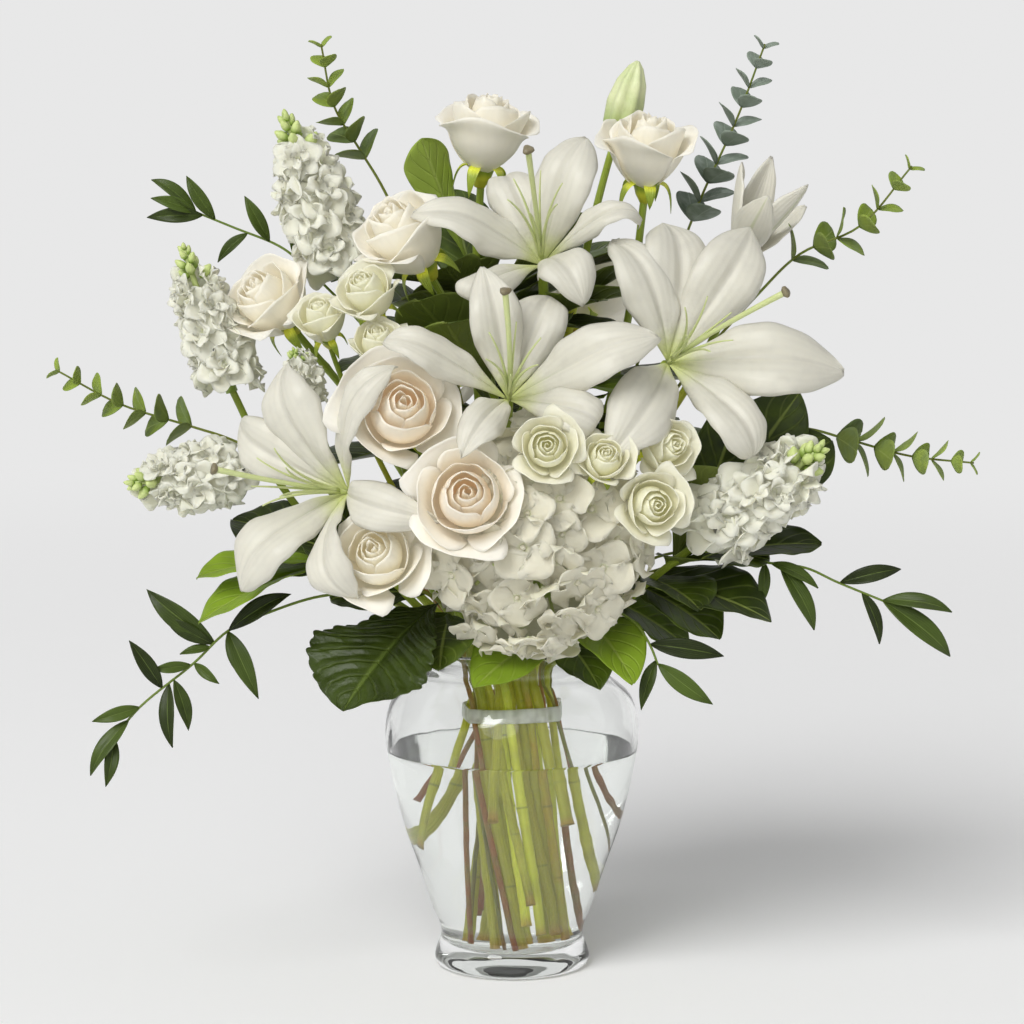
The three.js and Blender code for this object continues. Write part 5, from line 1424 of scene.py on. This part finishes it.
def vase_profile(height, glass):
    """The vase's outline as radii and heights: its hollow under side, its outside from foot to rim, its
    lip, and its inside from the rim to the floor. Out and inside are smooth lines through a few points.
    Returns the whole outline and the inside alone."""
    outside = [
        (FOOT_RADIUS - 4, 0), (FOOT_RADIUS - 1, 1.2), (FOOT_RADIUS, 5), (FOOT_RADIUS - 1.4, 11),
        (WAIST_RADIUS, 19), (46, 27), (50, 36), (58, 61), (68, 90), (77, 128), (BELLY_RADIUS, 152),
        (74, 170), (62, 181), (NECK_RADIUS, NECK_HEIGHT), (57.5, 195), (RIM_RADIUS - 0.6, height - 1.4),
    ]
    inside = [
        (RIM_RADIUS - glass - 0.4, height - 0.9), (57.5 - glass, 195), (NECK_RADIUS - glass, NECK_HEIGHT),
        (60, 180.5), (71, 169), (BELLY_RADIUS - glass, 152), (74, 128), (65, 90), (55, 61), (45, 34),
        (39, 21), (33, FLOOR_HEIGHT + 2.5), (20, FLOOR_HEIGHT),
    ]
    outside, inside = [
        flowing([(radius, level, 0) for radius, level in line], 6)[:, :2] for line in (outside, inside)
    ]
    lip = [(RIM_RADIUS, height - 0.4), (RIM_RADIUS - 0.8, height), (RIM_RADIUS - glass, height)]
    under = [(0, 3.2), (18, 2.9), (32, 1.7), (FOOT_RADIUS - 9, 0.4), (FOOT_RADIUS - 7, 0)]
    return [*under, *outside, *lip, *inside, (0, FLOOR_HEIGHT)], inside


def water_profile(inside, level):
    """The water's floor and wall, just inside the glass, and its top with an edge that creeps up the wall."""
    gap = 0.25
    wall = [(radius + gap, height - gap) for radius, height in inside[::-1] if height < level]
    radius = wall[-1][0]
    top = [(radius, level + 1.2), (radius - 1.4, level + 0.3), (radius - 4, level)]
    return [(0, FLOOR_HEIGHT - gap), *wall, *top, (radius / 2, level), (0, level)]


def band(shells):
    """A clear soft band round all the stems at the tie. In each direction the loop reaches as far as the
    farthest stem does, and its place there is that reach times the direction plus its slope times the
    direction a quarter turn on. Its section is a flat ellipse."""
    spots = []
    for shoot in SHOOTS:
        foot, neck = shoot.route[:2]
        x, y, _ = foot + (neck - foot) * (TIE_HEIGHT - foot[2]) / (neck[2] - foot[2])
        spots.append((x, y, shoot.radius + BAND_GAP))
    spots = np.array(spots)
    angle = np.linspace(0, 2 * math.pi, 73)
    ways = np.stack([np.cos(angle), np.sin(angle)], 1)
    reach = (spots[None, :, :2] * ways[:, None]).sum(-1) + spots[None, :, 2]
    support = reach.max(1)
    slope = np.gradient(support, angle)
    slope[0] = slope[-1] = (support[1] - support[-2]) / (angle[2] - angle[0])
    loop = ways * support[:, None] + np.stack([-ways[:, 1], ways[:, 0]], 1) * slope[:, None]
    ring = np.concatenate([loop, np.full((len(angle), 1), TIE_HEIGHT)], 1)[:-1]
    out = np.concatenate([ways, np.zeros((len(angle), 1))], 1)[:-1]
    turn = np.linspace(0, 2 * math.pi, 12, endpoint=False)
    wide, high = BAND_THICKNESS / 2 * np.cos(turn), BAND_HEIGHT / 2 * np.sin(turn)
    points = ring[:, None] + (out[:, None] * wide[:, None] + UP * high[:, None])
    index = np.arange(len(ring) * len(turn)).reshape(-1, len(turn))
    across, around = np.roll(index, -1, 1), np.roll(index, -1, 0)
    shells.add(points, [np.stack([index, around, np.roll(around, -1, 1), across], -1).reshape(-1, 4)])


# ---- the stage ----

# The grey of the room behind the bunch, and of its light on rough surfaces.
BACKDROP = 0.806
AMBIENT = 0.25
# The disc that is the floor, the gap between it and the vase, and the camera's sensor, in millimetres.
FLOOR_RADIUS = 9000
FLOOR_THICKNESS = 40
FLOOR_GAP = 0.3
SENSOR = 36.0


def floor_finish():
    """A pale floor that takes shadows near the vase and glows like the backdrop far from it."""
    make = Finish("floor")
    grey = make.noise(30, 2) * 0.01 + 0.968
    shade = make.node("ShaderNodeCombineColor", None, {"Red": grey, "Green": grey, "Blue": grey})
    make.vary(Base_Color=shade)
    make.constants(
        Roughness=0.75, Specular_IOR_Level=0.15, Emission_Color=(1.0, 1.0, 1.0, 1.0), Emission_Strength=0.09,
    )
    place = make.node("ShaderNodeTexCoord", output="Object")
    distance = make.node("ShaderNodeVectorMath", {"operation": "LENGTH"}, {"Vector": place}, output="Value")
    glow = make.node("ShaderNodeEmission", None, {"Color": (BACKDROP, BACKDROP, BACKDROP, 1.0)})
    make.blend(make.smooth(distance, 0.5, 3.2), glow)
    return make.material


def backdrop():
    """The pale room: the backdrop's grey where it is seen, also through the glass, and a softer light where
    it falls on rough surfaces."""
    world = bpy.data.worlds.new("backdrop")
    world.use_nodes = True
    tree = world.node_tree
    seen = tree.nodes["Background"]
    seen.inputs["Color"].default_value = (BACKDROP, BACKDROP, BACKDROP, 1.0)
    felt = tree.nodes.new("ShaderNodeBackground")
    felt.inputs["Color"].default_value = (AMBIENT, AMBIENT, AMBIENT, 1.0)
    path = tree.nodes.new("ShaderNodeLightPath")
    mixed = tree.nodes.new("ShaderNodeMixShader")
    tree.links.new(path.outputs["Is Diffuse Ray"], mixed.inputs["Fac"])
    tree.links.new(seen.outputs["Background"], mixed.inputs[1])
    tree.links.new(felt.outputs["Background"], mixed.inputs[2])
    tree.links.new(mixed.outputs["Shader"], tree.nodes["World Output"].inputs["Surface"])
    return world


def light(name, away, power, angle, mirrored=True):
    """A far lamp as wide as an angle, so that its shadows are soft. Away points from the bunch to it, and
    glossy things mirror it or not."""
    lamp = bpy.data.objects.new(name, bpy.data.lights.new(name, "SUN"))
    lamp.visible_glossy = mirrored
    bpy.context.scene.collection.objects.link(lamp)
    lamp.data.angle = angle
    lamp.data.energy = power
    away = unit(away)
    lamp.location = away * 2.5
    lamp.rotation_euler = (math.acos(away[2]), 0, math.atan2(away[1], away[0]) + math.pi / 2)


# ---- what the sidebar sets ----


def color_property(name, description, code):
    """A colour in the sidebar, with its default from six hex digits."""
    return bpy.props.FloatVectorProperty(
        name=name, description=description, subtype="COLOR", size=4, min=0, max=1, default=tint(code),
    )


class VaseSizes(bpy.types.PropertyGroup):
    """Sizes of the vase and its water."""

    height: bpy.props.FloatProperty(
        name="Height", description="From the floor to the rim", default=0.203, min=0.2, max=0.21,
        unit="LENGTH",
    )
    glass: bpy.props.FloatProperty(
        name="Glass", description="Thickness of the wall", default=0.003, min=0.002, max=0.004, unit="LENGTH",
    )
    water_level: bpy.props.FloatProperty(
        name="Water level", description="From the floor to the top of the water", default=0.137, min=0.05,
        max=0.15, unit="LENGTH",
    )


class BunchAmounts(bpy.types.PropertyGroup):
    """How many petals and florets the flowers have."""

    rose_petals: bpy.props.IntProperty(
        name="Rose petals", description="Petals of each large rose", default=17, min=12, max=45,
    )
    spray_petals: bpy.props.IntProperty(
        name="Spray rose petals", description="Petals of each small rose", default=16, min=10, max=40,
    )


class BunchLooks(bpy.types.PropertyGroup):
    """Colours of the flowers, the stems and the glass."""

    lily: color_property("Lily", "Tepals of the lilies", 0xD2CFC1)
    rose: color_property("Rose", "Outer petals of the large roses", 0xEDE8DA)
    rose_heart: color_property("Rose heart", "Inner petals of the large roses", 0xF4E9C8)
    peach_heart: color_property("Peach heart", "Inner petals of the two front roses", 0xF8DFBC)
    spray: color_property("Spray rose", "Outer petals of the small roses", 0xE2DFC9)
    spray_heart: color_property("Spray rose heart", "Inner petals of the small roses", 0xE8E5B4)
    hydrangea: color_property("Hydrangea", "Petals of the hydrangea", 0xD0CCB9)
    stock: color_property("Stock", "Petals of the stock", 0xDBDACA)
    # The stems' green is painted brighter than their own, for light through the glass and water.
    stem: color_property("Stem", "The greenest parts of the stems", 0xDCE44A)
    glass: color_property("Glass", "The glass seen through", 0xFDFEFD)


# ---- operators ----


class BUNCH_OT_lilies(bpy.types.Operator):
    """Makes the four open lilies: tepals, and the green style and filaments of each"""

    bl_idname = "bunch.lilies"
    bl_label = "Open lilies"

    def execute(self, context):
        for name, throat, axis, style, leaves in LILIES:
            bloom, greens = Shells(), Shells()
            tepals(bloom, throat, axis, leaves)
            bloom.piece(name + "_tepals", finish("lily_petal"), [name], "lily_white")
            pistil(greens, throat, axis, style)
            greens.piece(name + "_pistil", finish("pistil"), [name], "lily_green")
        return {"FINISHED"}


class BUNCH_OT_young_lilies(bpy.types.Operator):
    """Makes the half-open lily and the shut bud"""

    bl_idname = "bunch.young_lilies"
    bl_label = "Half-open lily and bud"

    def execute(self, context):
        bloom, shut = Shells(), Shells()
        half_open(bloom)
        bloom.piece("lily_half_open_tepals", finish("lily_petal"), ["lily_half_open"], "lily_white")
        bud(shut)
        shut.piece("lily_bud_shut", finish("lily_bud"), ["lily_bud"], "lily_green")
        return {"FINISHED"}


class BUNCH_OT_roses(bpy.types.Operator):
    """Makes the nine large roses"""

    bl_idname = "bunch.roses"
    bl_label = "Large roses"

    def execute(self, context):
        count = context.scene.bunch_amounts.rose_petals
        for seed, (name, centre, axis, size, open_share) in enumerate(ROSES):
            material = "peach_petal" if name in PEACH_ROSES else "rose_petal"
            rose(name, centre, axis, size, count, seed, material, "rose_cream", open_share)
        return {"FINISHED"}


class BUNCH_OT_spray_roses(bpy.types.Operator):
    """Makes the seven small roses"""

    bl_idname = "bunch.spray_roses"
    bl_label = "Spray roses"

    def execute(self, context):
        count = context.scene.bunch_amounts.spray_petals
        for seed, (name, centre, axis, size) in enumerate(SPRAY_ROSES):
            rose(name, centre, axis, size, count, 20 + seed, "spray_petal", "spray_white", 0.45)
        return {"FINISHED"}


class BUNCH_OT_hydrangea(bpy.types.Operator):
    """Makes the hydrangea: its florets, and the green stalks inside the head"""

    bl_idname = "bunch.hydrangea"
    bl_label = "Hydrangea"

    def execute(self, context):
        florets, inside = Shells(), Shells()
        hydrangea(florets)
        florets.piece("hydrangea_florets", finish("hydrangea_petal"), ["hydrangea"], "hydrangea_white")
        hydrangea_heart(inside)
        inside.piece("hydrangea_stalks", finish("green_bud"), ["hydrangea"], "hydrangea_white")
        return {"FINISHED"}


class BUNCH_OT_stock(bpy.types.Operator):
    """Makes the five spikes of stock: ruffled florets, green buds and the stem they stand on"""

    bl_idname = "bunch.stock"
    bl_label = "Stock"

    def execute(self, context):
        for seed, (name, base, tip, width, count, buds) in enumerate(STOCKS):
            florets, greens = Shells(), Shells()
            stock(florets, greens, base, tip, width, count, buds, 60 + seed)
            florets.piece(name + "_florets", finish("stock_petal"), [name], "stock_white")
            greens.piece(name + "_buds", finish("green_bud"), [name], "stock_white")
        return {"FINISHED"}


class BUNCH_OT_eucalyptus(bpy.types.Operator):
    """Makes the five sprigs of eucalyptus with their stems"""

    bl_idname = "bunch.eucalyptus"
    bl_label = "Eucalyptus"

    def execute(self, context):
        for name, pairs, smallest, largest, route in EUCALYPTUS:
            sprig, stem = Shells(), Shells()
            eucalyptus(sprig, stem, name, pairs, smallest, largest, route)
            material = "eucalyptus_blue" if name in BLUE_EUCALYPTUS else "eucalyptus"
            sprig.piece(name + "_sprig", finish(material), [name], "eucalyptus_green")
            stem.piece(name + "_stem", finish("sprig_stem"), [name], "eucalyptus_green")
        return {"FINISHED"}


class BUNCH_OT_ruscus(bpy.types.Operator):
    """Makes the four sprigs of ruscus with their stems"""

    bl_idname = "bunch.ruscus"
    bl_label = "Ruscus"

    def execute(self, context):
        for name, depth, _, leaves in RUSCUS:
            sprig, stem = Shells(), Shells()
            ruscus(sprig, stem, name, depth, leaves)
            sprig.piece(name + "_sprig", finish("ruscus"), [name], "ruscus_green")
            stem.piece(name + "_stem", finish("sprig_stem"), [name], "ruscus_green")
        return {"FINISHED"}


class BUNCH_OT_broad_leaves(bpy.types.Operator):
    """Makes the four sprigs of broad leaves with their stems"""

    bl_idname = "bunch.broad_leaves"
    bl_label = "Broad leaves"

    def execute(self, context):
        for name, _, leaves in BROAD_LEAVES:
            sprig, crinkled, stem = Shells(), Shells(), Shells()
            broad_leaves(sprig, crinkled, stem, name, leaves)
            # The sprig at the back takes the darker finish, partly painted shade.
            material = "dark_leaf" if name in SHADED_DARK_SPRIGS else "broad_leaf"
            sprig.piece(name + "_sprig", finish(material), [name], "leaf_green")
            stem.piece(name + "_stem", finish("sprig_stem"), [name], "leaf_green")
            if crinkled.size:
                crinkled.piece(name + "_crinkled", finish("crinkled_leaf"), [name], "leaf_green")
        return {"FINISHED"}


class BUNCH_OT_stems(bpy.types.Operator):
    """Makes the stems of the flowers, bunch by bunch, with the calyxes under the roses"""

    bl_idname = "bunch.stems"
    bl_label = "Stems"

    def execute(self, context):
        for seed, (name, radius, _, side) in enumerate(STALKS):
            bunch = Shells()
            stalks(bunch, name, radius, side, 90 + seed)
            bunch.piece(name + "_green", finish("stem"), [name], "stem_green")
        return {"FINISHED"}


class BUNCH_OT_vase(bpy.types.Operator):
    """Makes the glass vase and the water in it"""

    bl_idname = "bunch.vase"
    bl_label = "Vase and water"

    def execute(self, context):
        sizes = context.scene.vase_sizes
        profile, inside = vase_profile(sizes.height / MM, sizes.glass / MM)
        vase, water = Shells(), Shells()
        turned(vase, profile, 144)
        vase.piece("vase_glass", finish("glass"), ["vase"], "glass")
        turned(water, water_profile(inside, sizes.water_level / MM), 144)
        water.piece("vase_water", finish("water"), ["water"], "water")
        return {"FINISHED"}


class BUNCH_OT_band(bpy.types.Operator):
    """Makes the clear band round the stems"""

    bl_idname = "bunch.band"
    bl_label = "Band"

    def execute(self, context):
        loop = Shells()
        band(loop)
        loop.piece("stem_band_loop", finish("band"), ["stem_band"], "clear_band")
        return {"FINISHED"}


class BUNCH_OT_stage(bpy.types.Operator):
    """Sets the pale floor, the soft lights and the camera"""

    bl_idname = "bunch.stage"
    bl_label = "Stage"

    def execute(self, context):
        scene = context.scene
        disc = Shells()
        low = -FLOOR_THICKNESS
        turned(disc, [(0, low), (FLOOR_RADIUS, low), (FLOOR_RADIUS, -FLOOR_GAP), (0, -FLOOR_GAP)], 128)
        disc.thing("floor", floor_finish())
        light("key_light", (-0.62, -1.0, 0.98), 1.95, math.radians(32))
        light("low_light", (-0.3, -1.3, 0.62), 0.75, math.radians(34), mirrored=False)
        scene.world = backdrop()
        camera = bpy.data.objects.new("camera", bpy.data.cameras.new("camera"))
        scene.collection.objects.link(camera)
        camera.data.lens = SENSOR * VIEW_FOCAL / VIEW_SIZE
        camera.data.sensor_width = SENSOR
        camera.location = EYE * MM
        camera.rotation_euler = (math.pi / 2 - VIEW_TILT, 0, 0)
        scene.camera = camera
        scene.view_settings.view_transform = "Standard"
        return {"FINISHED"}


# ---- add-on ----


class BUNCH_PT_sidebar(bpy.types.Panel):
    """The sizes, amounts and colours, and a button for each piece."""

    bl_label = "Lilies in a vase"
    bl_idname = "BUNCH_PT_sidebar"
    bl_space_type = "VIEW_3D"
    bl_region_type = "UI"
    bl_category = "Lilies"

    def draw(self, context):
        """Lists every property, then every operator."""
        layout = self.layout
        for group in (context.scene.vase_sizes, context.scene.bunch_amounts, context.scene.bunch_looks):
            box = layout.box()
            for name in group.__annotations__:
                box.prop(group, name)
        for operator in OPERATORS:
            layout.operator(operator.bl_idname)


GROUPS = {"vase_sizes": VaseSizes, "bunch_amounts": BunchAmounts, "bunch_looks": BunchLooks}
OPERATORS = (
    BUNCH_OT_vase, BUNCH_OT_stems, BUNCH_OT_band, BUNCH_OT_lilies, BUNCH_OT_young_lilies, BUNCH_OT_roses,
    BUNCH_OT_spray_roses, BUNCH_OT_hydrangea, BUNCH_OT_stock, BUNCH_OT_eucalyptus, BUNCH_OT_ruscus,
    BUNCH_OT_broad_leaves, BUNCH_OT_stage,
)
CLASSES = (*GROUPS.values(), *OPERATORS, BUNCH_PT_sidebar)


def register():
    """Makes the classes known to Blender and gives each scene the sidebar's values."""
    for each in CLASSES:
        bpy.utils.register_class(each)
    for name, group in GROUPS.items():
        setattr(bpy.types.Scene, name, bpy.props.PointerProperty(type=group))


def unregister():
    """Takes back what register did."""
    for name in GROUPS:
        delattr(bpy.types.Scene, name)
    for each in reversed(CLASSES):
        bpy.utils.unregister_class(each)


def main():
    """Makes the whole bunch and its stage."""
    register()
    bpy.ops.bunch.vase()
    bpy.ops.bunch.stems()
    bpy.ops.bunch.band()
    bpy.ops.bunch.lilies()
    bpy.ops.bunch.young_lilies()
    bpy.ops.bunch.roses()
    bpy.ops.bunch.spray_roses()
    bpy.ops.bunch.hydrangea()
    bpy.ops.bunch.stock()
    bpy.ops.bunch.eucalyptus()
    bpy.ops.bunch.ruscus()
    bpy.ops.bunch.broad_leaves()
    bpy.ops.bunch.stage()


if __name__ == "__main__":
    main()
